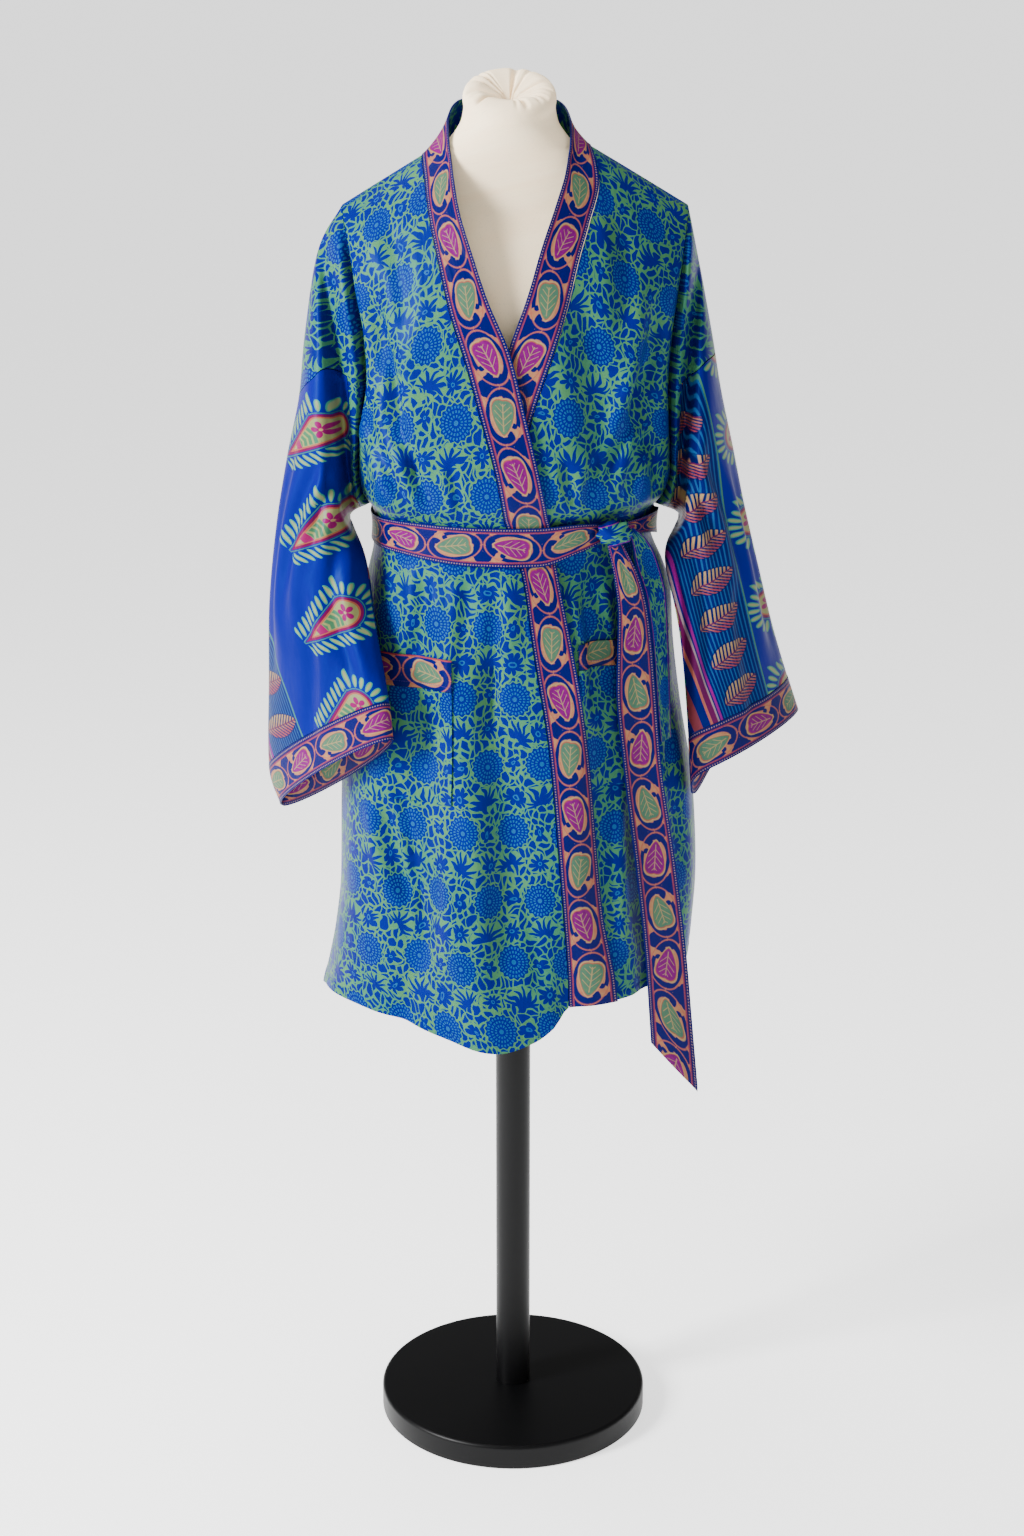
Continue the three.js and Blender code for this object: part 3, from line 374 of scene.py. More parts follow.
SILK = {"Specular_IOR_Level": 0.13, "Specular_Tint": (0.1, 0.36, 1.0, 1.0)}
BORDER_SILK = {"Specular_IOR_Level": 0.07}
printed = Finish("printed_silk", **SILK)
colour, blue = body_print(printed)
printed.put("Base Color", colour)
silk(printed, blue)
print("body print:", len(printed.tree.nodes), "nodes")

# %% [markdown]
# ## The border print
#
# A border about 49 mm wide runs along the neckband, cuffs, pocket bands and belt. Leaf medallions, pink and
# sage in turn, lean to one side and the other. Each is held by a blue scroll on a peach ground, with
# pointed blue leaves between. Pink lines and a blue edge with cream dots close it on both sides.

# %% The border print
MEDALLION_STEP = 66.0
MEDALLION_LEAN = -0.2
BORDER_LINE = 17.6
BAND_WIDE = 49.0
PEACH = dye(246, 156, 134)
CREAM = dye(248, 214, 160)
PINK = dye(206, 20, 190)
SAGE = dye(150, 190, 142)
DEEP_BLUE = dye(4, 22, 158)


def border_print(finish, x, y):
    """Colour of the border, from the place across it (0 in the middle) and along it."""
    odd = (y / MEDALLION_STEP).floor().repeat(2.0)
    side = 1 - odd * 2
    place = finish.vector(x, y)
    a, b = leaned(x * side, within(y, MEDALLION_STEP), MEDALLION_LEAN)
    heart = b - abs(a) * 0.4 + 1.5
    wide = 10.8 + b * 0.15
    ring = distance(a / wide, heart / 19.0)
    edge_y = within(y + MEDALLION_STEP / 2, MEDALLION_STEP)
    far = abs(x)
    leaf_a = (far - 12.6) * 0.9 - edge_y * 0.42 * side
    leaf_b = (far - 12.6) * 0.42 * side + edge_y * 0.9
    point = (1 - abs(leaf_b) / 17.0) * 9.2 + abs((leaf_b / 6.5).part() - 0.5) * 2.4
    leaf = (abs(leaf_a) - point).most(abs(leaf_b) - 16)
    stem = (abs(x - (edge_y * 0.16).sin() * 4.0 * side) - 4.0).most(abs(edge_y) - 17)
    oval = (a * a / 156.0 + b * b / 420.0).root()
    scroll = (abs(oval - 1.3) - 0.19).most(0.32 - abs(b.turn(a) + 0.8))
    hook = distance(a - 11.5, b + 8.5) - 3.3
    blue = (leaf.inside(0.8) + stem.inside(0.8) + scroll.inside(0.06) + hook.inside(0.8)).least(1)
    line = (abs(oval - 1.55) - 0.045).inside(0.06)
    vein = (abs(a) - 0.55).inside(0.6) + (abs(((b - abs(a) * 1.1) / 7.5).part() - 0.5) - 0.07).inside(0.06)
    body = finish.layers(
        SAGE, (PINK, odd),
        (finish.over(dye(112, 168, 160), dye(158, 26, 156), odd), finish.noise(place, 0.22)),
        (CREAM, vein.least(1) * (ring < 0.82) * 0.75),
    )
    dots = distance(far - 22.1, within(y, 3.1)) - 0.75
    return finish.layers(
        PEACH, (CREAM, finish.noise(place, 0.16, 1.0) * 0.8),
        (DEEP_BLUE, blue), (PEACH, line * (far < BORDER_LINE) * 0.9),
        (CREAM, (ring - 1.15).inside(0.06)), (dye(232, 132, 120), (ring - 1.06).inside(0.06)),
        (body, (ring - 1).inside(0.06)),
        (dye(226, 110, 120), (BORDER_LINE - far).inside(0.5)), (dye(122, 30, 120), (19.2 - far).inside(0.4)),
        (DEEP_BLUE, (20.1 - far).inside(0.4)), (dye(226, 190, 186), dots.inside(0.5)),
    )


def border_finish(name, turned=False, middle=BAND_WIDE / 2):
    """A finish with the border running along the cloth's length, or across it if turned."""
    finish = Finish(name, **BORDER_SILK)
    x, y = finish.cloth()
    if turned:
        x, y = y, x
    far = abs(x - BAND_WIDE / 2)
    stitch = (abs(far - 18.6) < 0.35) * ((y / 2.8).part() < 0.7)
    colour = finish.over(border_print(finish, x - middle, y), dye(120, 96, 190), stitch * 0.8)
    finish.put("Base Color", colour)
    silk(finish, stitch * 6)
    return finish


border = border_finish("border_silk")
border_across = border_finish("border_silk_across", turned=True)
print("border print:", len(border.tree.nodes), "nodes")

# %% [markdown]
# ## The sleeve print
#
# The sleeves are cut from the end piece of the sari: plain royal blue with a column of paisleys, beside a
# striped border with feather leaves. A paisley is a drop with a magenta rim, a cream heart with a small
# flower, and a fringe of narrow leaves all round.

# %% The sleeve print
SLEEVE_BLUE = dye(0, 14, 184)
PAISLEY_STEP = 99.0
FEATHER_STEP = 43.0
FEATHER_LEAN = -0.62
FRINGE_STEP = 7.2
MINT = dye(120, 214, 176)
# The two edges of each stripe, in millimetres from the line where the border starts, and its colour
STRIPES = [
    (-58, -64, dye(20, 34, 160)), (-60, -62.5, PINK), (-64, -66, dye(220, 190, 200)),
    (-66, -72, dye(160, 40, 130)), (-72, -75, PEACH), (-75, -110, dye(24, 40, 170)),
    (-84, -94, dye(206, 110, 120)),
]


def paisley(finish, colour, x, y, lean, flip):
    """A paisley drop whose tail is at the origin's left and whose head is at its right."""
    long, fat = 80.0, 16.5
    head = long - fat
    slope = math.asin(fat / head)
    a, b = leaned(x, y, lean)
    a = a * flip + long * 0.56
    cone = abs(b) * math.cos(slope) - a * math.sin(slope)
    radius = distance(a - head, b)
    gap = (radius - fat).least(cone.most(a - head).most(-a))
    turn = b.turn(a - head)
    straight = (a - abs(b) * 0.35) / FRINGE_STEP
    curved = turn * 3.2 + 0.5
    count = straight + (a > head) * (curved - straight)
    leaf = abs(count.part() - 0.5) * FRINGE_STEP
    fringe = (gap - 9.4) / 6.8
    blade = (leaf - (1 - fringe * fringe).most(0).root() * 2.4).most((abs(fringe) - 0.96) * 6).most(-a - 1)
    petals = abs((turn * 2.5).cos()).most(0.001) ** 0.5 * 9.4
    flower = (radius - petals).most(gap + 4.6)
    leaf_a = a - long * 0.56
    comb = abs((leaf_a / 7.0 + abs(b) * 0.07).part() - 0.5) * 7 - 2.2
    sprig = comb.most(abs(leaf_a) - 11).most(gap + 4.8)
    block = (abs(a - long * 0.36) - 4.6).most(gap + 3.6)
    return finish.layers(
        colour, (MINT, blade.inside(0.7)), (dye(212, 222, 170), (blade + 1.1).inside(0.8)),
        (dye(110, 176, 170), (abs(gap - 1.4) - 0.55).inside(0.5)), (dye(178, 32, 124), gap.inside(0.5)),
        (dye(238, 150, 118), (gap + 2.6).inside(0.5)), (dye(214, 216, 150), (gap + 4.2).inside(0.5)),
        (dye(206, 40, 150), flower.inside(0.6)), (CREAM, (radius - 1.5).inside(0.5)),
        (dye(120, 182, 140), sprig.inside(0.7)), (dye(214, 60, 150), block.inside(0.5)),
    )


def feather(finish, colour, x, y, shear):
    """A comb leaf that leans up to the right, in cream turning salmon."""
    local = within(y, FEATHER_STEP)
    a, b = leaned(x + local * shear, local, FEATHER_LEAN)
    share = (a / 52.0 + 0.5).most(0.0001).least(0.9999)
    half = (share * math.pi).sin().most(0) ** 0.7 * 12.5
    gap = (abs(b) - half).most(abs(a) - 26)
    teeth = abs(((a - abs(b) * 0.9) / 4.8).part() - 0.5) - 0.25
    tint = finish.over(dye(240, 206, 150), dye(220, 112, 122), (b / 14.0 + 0.5).least(1).most(0))
    rib = (abs(b) - 0.6).most(abs(a) - 26)
    return finish.layers(
        colour, (dye(20, 30, 120), (gap - 1.2).inside(0.6) * 0.65),
        (tint, gap.inside(0.6) * teeth.inside(0.12)), (dye(150, 60, 120), rib.inside(0.4)),
    )


def sleeve_print(finish, x_in, y_in, paisley_x, flip, lean):
    """Paisleys where x_in is above 0, the striped border where it is below."""
    line = (abs((x_in / 3.7).part() - 0.5) - 0.17).inside(0.12)
    stripes = finish.over(dye(0, 26, 150), dye(60, 146, 214), line * 0.85)
    stripes = feather(finish, stripes, x_in + 30, y_in, 0.45 * (flip > 0))
    bands = [(ink, (x_in - low).most(high - x_in).inside(0.5)) for low, high, ink in STRIPES]
    field = finish.over(SLEEVE_BLUE, dye(0, 26, 212), finish.noise(finish.vector(x_in, y_in), 0.01))
    field = paisley(finish, field, paisley_x, within(y_in, PAISLEY_STEP), lean, flip)
    return finish.layers(
        finish.layers(stripes, *bands), (field, (-x_in).inside(0.5)),
        (dye(120, 190, 160), (abs(x_in + 0.8) - 0.7).inside(0.4)),
    )


print("paisleys stand every", PAISLEY_STEP, "mm")

# %% [markdown]
# ## Tables of the robe's shape
#
# These are the same few sections that the solids are made from: half widths and depths of the body by
# height, the line of the hem, the edges of the bands and the rings of the sleeves. `read` draws a smooth
# curve through a column. FOLDS are the large folds that the solids have too; finer ones come later.

# %% Tables and how to read them
def table(columns, *rows):
    return {name: np.array(values, float) for name, values in zip(columns.split(), zip(*rows))}


def row_of(rows, index):
    return {name: column[index] for name, column in rows.items()}


def read(rows, column, at, by="z"):
    """The value of a column at a height or place, on a smooth curve with no overshoot."""
    x, y = rows[by], rows[column]
    slope = np.diff(y) / np.diff(x)
    inner = np.zeros(len(slope) - 1)
    same = slope[:-1] * slope[1:] > 0
    inner[same] = 2 * (slope[:-1] * slope[1:])[same] / (slope[:-1] + slope[1:])[same]
    tangent = np.concatenate([[slope[0]], inner, [slope[-1]]])
    at = np.clip(np.asarray(at, float), x[0], x[-1])
    i = np.clip(np.searchsorted(x, at, side="left") - 1, 0, len(x) - 2)
    width = x[i + 1] - x[i]
    t = (at - x[i]) / width
    rise = y[i + 1] - y[i]
    first, last = tangent[i] * width, tangent[i + 1] * width
    return y[i] + t * first + t**2 * (3 * rise - 2 * first - last) + t**3 * (first + last - 2 * rise)


def smooth(t):
    t = np.clip(t, 0, 1)
    return t * t * (3 - 2 * t)


def bump(distance, width):
    return np.exp(-((distance / width) ** 2))


def unit(vectors):
    return vectors / np.maximum(np.linalg.norm(vectors, axis=-1, keepdims=True), 1e-9)


TORSO = table(
    "z right left front back",
    (540, 231, 206, 170, 151), (570, 229, 207, 168, 150), (600, 222, 208, 164, 147),
    (650, 212, 213, 160, 144), (720, 204, 217, 155, 140), (820, 202, 212, 149, 136),
    (920, 192, 196, 142, 131), (1000, 182, 184, 136, 124), (1060, 172, 172, 129, 115),
    (1090, 165, 163, 122, 109), (1112, 160, 158, 118, 105), (1138, 158, 156, 117, 104),
    (1160, 161, 159, 119, 106), (1178, 170, 170, 129, 116), (1205, 173, 176, 134, 119),
    (1250, 168, 174, 129, 115), (1307, 162, 172, 124, 111), (1353, 164, 175, 117, 104),
    (1393, 171, 180, 104, 98), (1428, 177, 185, 80, 87), (1450, 181, 188, 61, 77),
    (1467, 184, 190, 44, 64), (1482, 187, 192, 27, 46), (1490, 188, 193, 13, 26),
    (1493, 189, 193, 0, 0),
)
HEM_LINE = table(
    "across front back",
    (-1, 13, 13), (-0.85, 25, 16), (-0.7, 28, 18), (-0.4, 19, 22), (-0.2, 5, 24), (-0.04, -5, 26),
    (0.06, 3, 28), (0.13, 17, 30), (0.2, 40, 34), (0.5, 45, 45), (0.9, 62, 60), (1, 63, 63),
)
BAND_EDGES = table(
    "z over_seam over_free under_seam under_free",
    (560, 66, 119, -72, -120), (602, 64, 115, -70, -117), (740, 53, 99, -60, -106),
    (896, 40, 83, -47, -92), (1020, 21, 64, -33, -78), (1110, 6, 47, -20, -64),
    (1158, -8, 40, -9, -55), (1200, -16.5, 31, 3, -45), (1262, -36, 13, 22, -27),
    (1307, -51, -2, 41, -8), (1353, -68, -27, 59, 15), (1393, -79, -44, 71, 31),
    (1428, -88, -57, 83, 46), (1467, -96, -66, 94, 60), (1482, -99, -70, 91, 63),
    (1493, -101, -73, 86, 66),
)
FOLDS = table(
    "side across lean width out z reach",
    (-1, -0.1, -0.0004, 0.1, 13, 600, 230), (-1, -0.36, 0.0006, 0.07, -9, 640, 190),
    (-1, -0.72, 0.0003, 0.12, 6, 620, 220), (-1, 0.2, 0, 0.06, -8, 600, 120),
    (-1, -0.03, 0.0002, 0.055, 8, 1050, 90), (-1, 0.38, 0, 0.06, -8, 1040, 110),
    (-1, 0.54, 0, 0.06, -13, 740, 230), (-1, 0.78, 0, 0.09, 7, 700, 230),
    (-1, -0.55, 0.0005, 0.09, 7, 1225, 90), (-1, -0.8, 0.0003, 0.08, -7, 1250, 110),
    (-1, 0.55, -0.0003, 0.08, 8, 1215, 90), (-1, 0.76, -0.0006, 0.09, -12, 1230, 130),
    (1, -0.62, 0.0002, 0.1, 9, 700, 240), (1, -0.36, 0, 0.09, -9, 690, 240),
    (1, -0.08, 0, 0.1, 8, 640, 260), (1, 0.2, 0.0001, 0.09, -8, 700, 240),
    (1, 0.48, -0.0001, 0.1, 9, 660, 240), (1, -0.5, 0, 0.09, 6, 1215, 80),
    (1, -0.16, 0, 0.07, -6, 1210, 80), (1, 0.18, 0, 0.09, 6, 1215, 80), (1, 0.55, 0, 0.08, -6, 1210, 80),
)
UNDERARM, SHOULDER, HEM, HEM_FROM, WAIST = 1160, 1493, 560, 700, 1138
SIGN = {"right": -1.0, "left": 1.0}
print("height of the robe at the shoulder seam:", SHOULDER - HEM, "mm")

# %% [markdown]
# ## The body's surface
#
# `torso` gives the outside of the robe from a place across (-1 at the wearer's right side seam, 1 at the
# left) and a height. The armholes open its sides above the underarm, and the shoulders lift its top.

# %% The body's surface
SEAM = 0.5
ARMHOLE_DEPTH = 52
LAP = 5
CINCH = 34
UNDER_HEM = 40
CLOTH = 1.4
SHOULDER_SLOPE, SHOULDER_SOFT = 0.607, 25
HIP_EASE, HIP_HIGH, HIP_REACH = 10, 1075, 55


def half_width(across, z):
    to_left = (1 + np.sin(np.pi / 2 * across)) / 2
    right, left = read(TORSO, "right", z), read(TORSO, "left", z)
    return right + (left - right) * to_left


def torso(side, across, z):
    angle = np.pi / 2 * across
    half = half_width(across, z)
    depth = read(TORSO, "front" if side < 0 else "back", z)
    middle = (SHOULDER + UNDERARM) / 2
    edge = ARMHOLE_DEPTH * np.sqrt(np.maximum(0, 1 - ((z - middle) / (SHOULDER - middle)) ** 2))
    swell = np.zeros(np.broadcast(across, z).shape)
    for i in np.flatnonzero(FOLDS["side"] == side):
        fold = row_of(FOLDS, i)
        place = fold["across"] + fold["lean"] * (z - fold["z"])
        swell = swell + fold["out"] * bump(across - place, fold["width"]) * bump(z - fold["z"], fold["reach"])
    cosine = np.maximum(0, np.cos(angle))
    swell = swell * (1 - bump(z - WAIST, CINCH)) * np.sqrt(cosine)
    x = half * np.sin(angle)
    y = side * (SEAM / 2 + edge + (depth - edge) * cosine**0.9)
    wide = np.maximum(np.hypot(x, y), 1e-6)
    slope = SHOULDER_SLOPE * (half - np.hypot(x, SHOULDER_SOFT) + SHOULDER_SOFT * 0.12)
    lift = slope * smooth((z - UNDERARM) / (SHOULDER - UNDERARM))
    return np.stack([x + x / wide * swell, y + y / wide * swell, z + lift], -1)


def torso_out(side, across, z):
    """The body's outward direction."""
    step = np.where(across > 0, -0.01, 0.01)
    rise = np.where(z > (HEM + SHOULDER) / 2, -2.0, 2.0)
    here = torso(side, across, z)
    sideways = (torso(side, across + step, z) - here) * np.sign(step)[..., None]
    upward = (torso(side, across, z + rise) - here) * np.sign(rise)[..., None]
    return unit(np.cross(sideways, upward) * -side)


def across_at(x, z):
    low, high = np.full(np.broadcast(x, z).shape, -1.0), np.full(np.broadcast(x, z).shape, 1.0)
    for _ in range(30):
        middle = (low + high) / 2
        below = half_width(middle, z) * np.sin(np.pi / 2 * middle) < x
        low, high = np.where(below, middle, low), np.where(below, high, middle)
    return (low + high) / 2


def lap(across, z=WAIST):
    """How far the front on top stands off: nothing at its side seam and at the shoulder seam."""
    return LAP * smooth((across + 0.96) / 0.34) * smooth((SHOULDER - z) / 60)


def hem_follow(side, across, z, under=False):
    """Rows near the hem follow the hem's own line."""
    drop = read(HEM_LINE, "front" if side < 0 else "back", across, "across")
    hem = HEM + (np.maximum(drop, UNDER_HEM) if under else drop)
    low = hem + (HEM_FROM - hem) * (z - HEM) / (HEM_FROM - HEM)
    return np.where(z < HEM_FROM, low, z)


print("half widths at the belt:", half_width(-1, WAIST), "and", half_width(1, WAIST), "mm")

# %% [markdown]
# ## Cloth as a thin shell
#
# Every sewn piece becomes a grid of points on its outside, a second grid one cloth thickness inside, and
# a rim. The flat cloth's coordinates are distances along the rows and columns, so a print keeps its
# size wherever the cloth bends.

# %% The shell builder
def flat_coordinates(points, column=0, row=0):
    """Distances along the rows from one column, and along the columns from one row."""
    along = np.linalg.norm(np.diff(points, axis=1), axis=-1)
    along = np.concatenate([np.zeros((len(points), 1)), np.cumsum(along, 1)], 1)
    up = np.linalg.norm(np.diff(points, axis=0), axis=-1)
    up = np.concatenate([np.zeros((1, points.shape[1])), np.cumsum(up, 0)], 0)
    return np.stack([along - along[:, column : column + 1], up - up[row : row + 1]], -1)


def grid_out(points, ring=False, sign=1):
    """Outward directions of a grid, from the points beside each."""
    if ring:
        sideways = np.roll(points, -1, 1) - np.roll(points, 1, 1)
    else:
        sideways = np.gradient(points, axis=1)
    return unit(np.cross(sideways, np.gradient(points, axis=0)) * sign)


def put_piece(name, vertices, faces, uvs, finishes, node, sharp=None):
    """An object with its mesh, which rides the body and takes the place of a solid."""
    mesh = bpy.data.meshes.new(name)
    mesh.from_pydata((vertices / 1000).tolist(), [], faces)
    if uvs is not None:
        mesh.uv_layers.new(name="cloth").data.foreach_set("uv", (uvs / 1000).ravel())
    for finish in finishes:
        mesh.materials.append(finish.material)
    mesh.shade_smooth()
    if sharp is not None:
        mesh.set_sharp_from_angle(angle=math.radians(sharp))
    piece = bpy.data.objects.new(name, mesh)
    bpy.context.collection.objects.link(piece)
    outward_volume(piece)
    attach(piece, "root")
    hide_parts(node)
    return piece


def close_ring(grid):
    """A grid that goes round, with its first column again at the end."""
    return np.concatenate([grid, grid[:, :1]], 1)


def quads_of(rows, columns, steps):
    """The corners of each face of a grid, as rows and columns that aren't wrapped round."""
    r, c = np.meshgrid(np.arange(rows - 1), np.arange(steps), indexing="ij")
    r, c = r.ravel(), c.ravel()
    corners = [(r, c), (r, c + 1), (r + 1, c + 1), (r + 1, c)]
    return corners, np.stack([row * columns + column % columns for row, column in corners], 1)


def shell(name, points, out, thick, flat, finishes, node, ring=False):
    """A closed sheet of cloth. flat holds the cloth's coordinates, one column more on a ring."""
    rows, columns = points.shape[:2]
    total = rows * columns
    wrap = columns if ring else columns - 1
    corners, outer = quads_of(rows, columns, wrap)
    outer_flat = np.stack([flat[corner] for corner in corners], 1)
    faces, uvs = [outer, outer[:, ::-1] + total], [outer_flat, outer_flat[:, ::-1]]

    def wall(row, column, next_row, next_column, turned):
        a, b = row * columns + column % columns, next_row * columns + next_column % columns
        here, there = flat[row, column], flat[next_row, next_column]
        order = slice(None, None, -1 if turned else 1)
        faces.append(np.stack([a, b, b + total, a + total], 1)[:, order])
        uvs.append(np.stack([here, there, there, here], 1)[:, order])

    at, up = np.arange(wrap), np.arange(rows - 1)
    for row, turned in ((0, True), (rows - 1, False)):
        wall(row + 0 * at, at, row + 0 * at, at + 1, turned)
    if not ring:
        for column, turned in ((0, False), (columns - 1, True)):
            wall(up, column + 0 * up, up + 1, column + 0 * up, turned)
    vertices = np.concatenate([points.reshape(-1, 3), (points - out * thick).reshape(-1, 3)])
    piece = put_piece(name, vertices, np.concatenate(faces).tolist(), np.concatenate(uvs), finishes, node, 55)
    if len(finishes) > 1:
        index = np.zeros(len(piece.data.polygons), np.int32)
        index[len(outer) : 2 * len(outer)] = 1
        piece.data.polygons.foreach_set("material_index", index)
    return piece


def capped(name, points, flat, end_flat, finish, node, sharp=None, ends=None):
    """A solid of rings, closed by a fan of triangles round one point at each end."""
    rows, sides = points.shape[:2]
    corners, quads = quads_of(rows, sides, sides)
    ends = points[[0, -1]].mean(1) if ends is None else np.array(ends, float)
    vertices = np.concatenate([points.reshape(-1, 3), ends])
    faces, last = quads.tolist(), (rows - 1) * sides
    for k in range(sides):
        d = (k + 1) % sides
        faces += [(len(vertices) - 2, d, k), (len(vertices) - 1, last + k, last + d)]
    uvs = None
    if flat is not None:
        wall = np.stack([flat[corner] for corner in corners], 1).reshape(-1, 2)
        low, high = (np.broadcast_to(place, (sides, 2)) for place in end_flat)
        fans = np.stack([low, flat[0, 1:], flat[0, :-1], high, flat[-1, :-1], flat[-1, 1:]], 1)
        uvs = np.concatenate([wall, fans.reshape(-1, 2)])
    piece = put_piece(name, vertices, faces, uvs, [finish], node, sharp)
    return piece


def outward_volume(piece):
    """Turn the faces round if the piece is inside out."""
    mesh = piece.data
    mesh.calc_loop_triangles()
    points = np.empty(len(mesh.vertices) * 3)
    mesh.vertices.foreach_get("co", points)
    corners = np.empty(len(mesh.loop_triangles) * 3, np.int32)
    mesh.loop_triangles.foreach_get("vertices", corners)
    a, b, c = points.reshape(-1, 3)[corners.reshape(-1, 3)].transpose(1, 0, 2)
    if np.einsum("ij,ij->i", a, np.cross(b, c)).sum() < 0:
        mesh.flip_normals()


def outer_area(points):
    """Area of a grid's surface in square metres."""
    a = points[1:, 1:] - points[:-1, :-1]
    b = points[1:, :-1] - points[:-1, 1:]
    return float(np.linalg.norm(np.cross(a, b), axis=-1).sum() / 2) / 1e6


BROAD = 0.15


def declare(piece, points):
    """Print the piece's flat cut, measured on its grid: as long as the longest column
    and as wide as its widest row, square to the columns. Columns shorter than 0.15 of the longest are left
    out of the width: only a sleeve head has them, where it narrows to a strip under the arm."""
    columns = flat_coordinates(points)[-1, :, 1]
    broad = (columns[1:] + columns[:-1]) / 2 > BROAD * columns.max()
    down = unit(np.gradient(points, axis=0)[:, 1:] + np.gradient(points, axis=0)[:, :-1])
    square = np.linalg.norm(np.cross(np.diff(points, axis=1), down), axis=-1)
    width = (square * broad).sum(1).max() / 1000
    length = columns.max() / 1000
    area = min(outer_area(points), width * length)
    whole = square.sum(1).max() / 1000
    print(f"{piece.name}: flat {width:.3f} x {length:.3f} m, {area:.4f} m2, whole row {whole:.3f} m")


# %% [markdown]
# ## Creases
#
# Hung silk has long soft creases where it is pulled and short ones where it is gathered. Each is a line
# on the body with a trough on it and a lower ridge beside it, fading at both ends. They are placed one by
# one: from the armpits to the belt, above the belt where the bodice blouses, and down the skirt.

# %% Creases on the body
CREASE_SCALE = 2.6
CREASES = table(
    "side x0 z0 x1 z1 width depth",
    (-1, -158, 1400, -120, 1215, 9, 3.2), (-1, -148, 1330, -96, 1190, 7, 2.2),
    (-1, -160, 1270, -118, 1180, 6, 2.4), (-1, -112, 1240, -92, 1172, 6, 1.8),
    (-1, -66, 1225, -58, 1168, 5, 1.5), (-1, -132, 1462, -116, 1330, 12, 1.6),
    (-1, 160, 1400, 128, 1210, 10, 3.4), (-1, 148, 1340, 104, 1188, 8, 2.4),
    (-1, 150, 1260, 122, 1178, 7, 2.6), (-1, 96, 1236, 78, 1172, 6, 2.0),
    (-1, 58, 1230, 62, 1170, 6, 1.6), (-1, 124, 1450, 112, 1330, 12, 1.6),
    (-1, -96, 1108, -112, 985, 7, 1.8), (-1, -52, 1108, -60, 960, 6, 1.6),
    (-1, -18, 1100, -28, 900, 8, 2.6), (-1, -144, 850, -118, 700, 9, 2.6),
    (-1, -128, 880, -96, 640, 5, 1.6), (-1, -60, 860, -52, 620, 12, 1.6), (-1, 78, 1100, 92, 930, 7, 2.4),
    (-1, 112, 1100, 134, 900, 8, 2.6), (-1, 128, 860, 150, 640, 9, 2.2), (-1, 178, 980, 196, 720, 9, 2.4),
    (-1, -176, 1060, -190, 840, 9, 2.0), (-1, 20, 760, 26, 600, 9, 1.6),
    (-1, -30, 1095, -4, 580, 24, 4.6), (-1, -104, 1090, -118, 590, 26, 3.6),
    (-1, 96, 1090, 118, 610, 20, 3.4), (-1, 150, 1060, 172, 620, 22, 3.4),
    (-1, -150, 1440, -134, 1200, 18, 3.4), (-1, 86, 1380, 92, 1190, 20, 2.6),
    (1, -150, 1400, -112, 1230, 10, 3.0), (1, -140, 1300, -96, 1190, 7, 2.2),
    (1, -60, 1240, -54, 1172, 6, 1.6), (1, 0, 1236, 4, 1172, 6, 1.6), (1, 58, 1240, 50, 1172, 6, 1.6),
    (1, 148, 1400, 116, 1230, 10, 3.0), (1, 138, 1300, 100, 1188, 7, 2.2),
    (1, -120, 1100, -134, 900, 8, 2.0), (1, -40, 1100, -46, 880, 8, 2.0), (1, 46, 1100, 52, 880, 8, 2.0),
    (1, 116, 1100, 136, 880, 8, 2.0), (1, -100, 860, -116, 640, 10, 2.0), (1, 84, 860, 98, 640, 10, 2.0),
)


def free_of_belt(z):
    """Nothing at the belt, which holds the cloth flat, and 1 away from it."""
    return 1 - bump(z - WAIST, CINCH * 0.7)


def crease(side, x, z):
    """How far the cloth moves out at a place, from all creases on that side."""
    moved = np.zeros(x.shape)
    for i in np.flatnonzero(CREASES["side"] == side):
        c = row_of(CREASES, i)
        run = np.array([c["x1"] - c["x0"], c["z1"] - c["z0"]])
        length = np.hypot(*run)
        run = run / length
        along = ((x - c["x0"]) * run[0] + (z - c["z0"]) * run[1]) / length
        wave = 0.35 * c["width"] * np.sin(along * 5 + i)
        off = (x - c["x0"]) * run[1] - (z - c["z0"]) * run[0] + wave
        fade = smooth(along / 0.25) * smooth((1 - along) / 0.3)
        trough = -bump(off, c["width"])
        ridge = 0.55 * bump(off - c["width"] * 1.7, c["width"] * 1.1)
        moved = moved + CREASE_SCALE * c["depth"] * fade * (trough + ridge)
    return moved * free_of_belt(z)


def hip_ease(across, z):
    """The wearer's left side hangs a little fuller under the belt than the few sections make it."""
    at_side = smooth((across - 0.7) / 0.3)
    return HIP_EASE * bump(z - HIP_HIGH, HIP_REACH) * at_side * free_of_belt(z)


def body_grid(side, across, z, raise_by, creased=1.0):
    """Points on the body, moved out, with the creases in."""
    out = torso_out(side, across, z)
    onside = np.abs(across) > 0.9995
    out[..., 1] = np.where((z > SHOULDER - 0.01) | (onside & (z < UNDERARM)), 0, out[..., 1])
    out[..., 0] = np.where(onside & (z >= UNDERARM) & (z <= SHOULDER - 0.01), 0, out[..., 0])
    out = unit(out)
    points = torso(side, across, z)
    calm = smooth((1 - np.abs(across)) / 0.08) * smooth((SHOULDER - z) / 25)
    moved = crease(side, points[..., 0], z) * calm * creased + hip_ease(across, z)
    return points + out * (raise_by + moved)[..., None], out


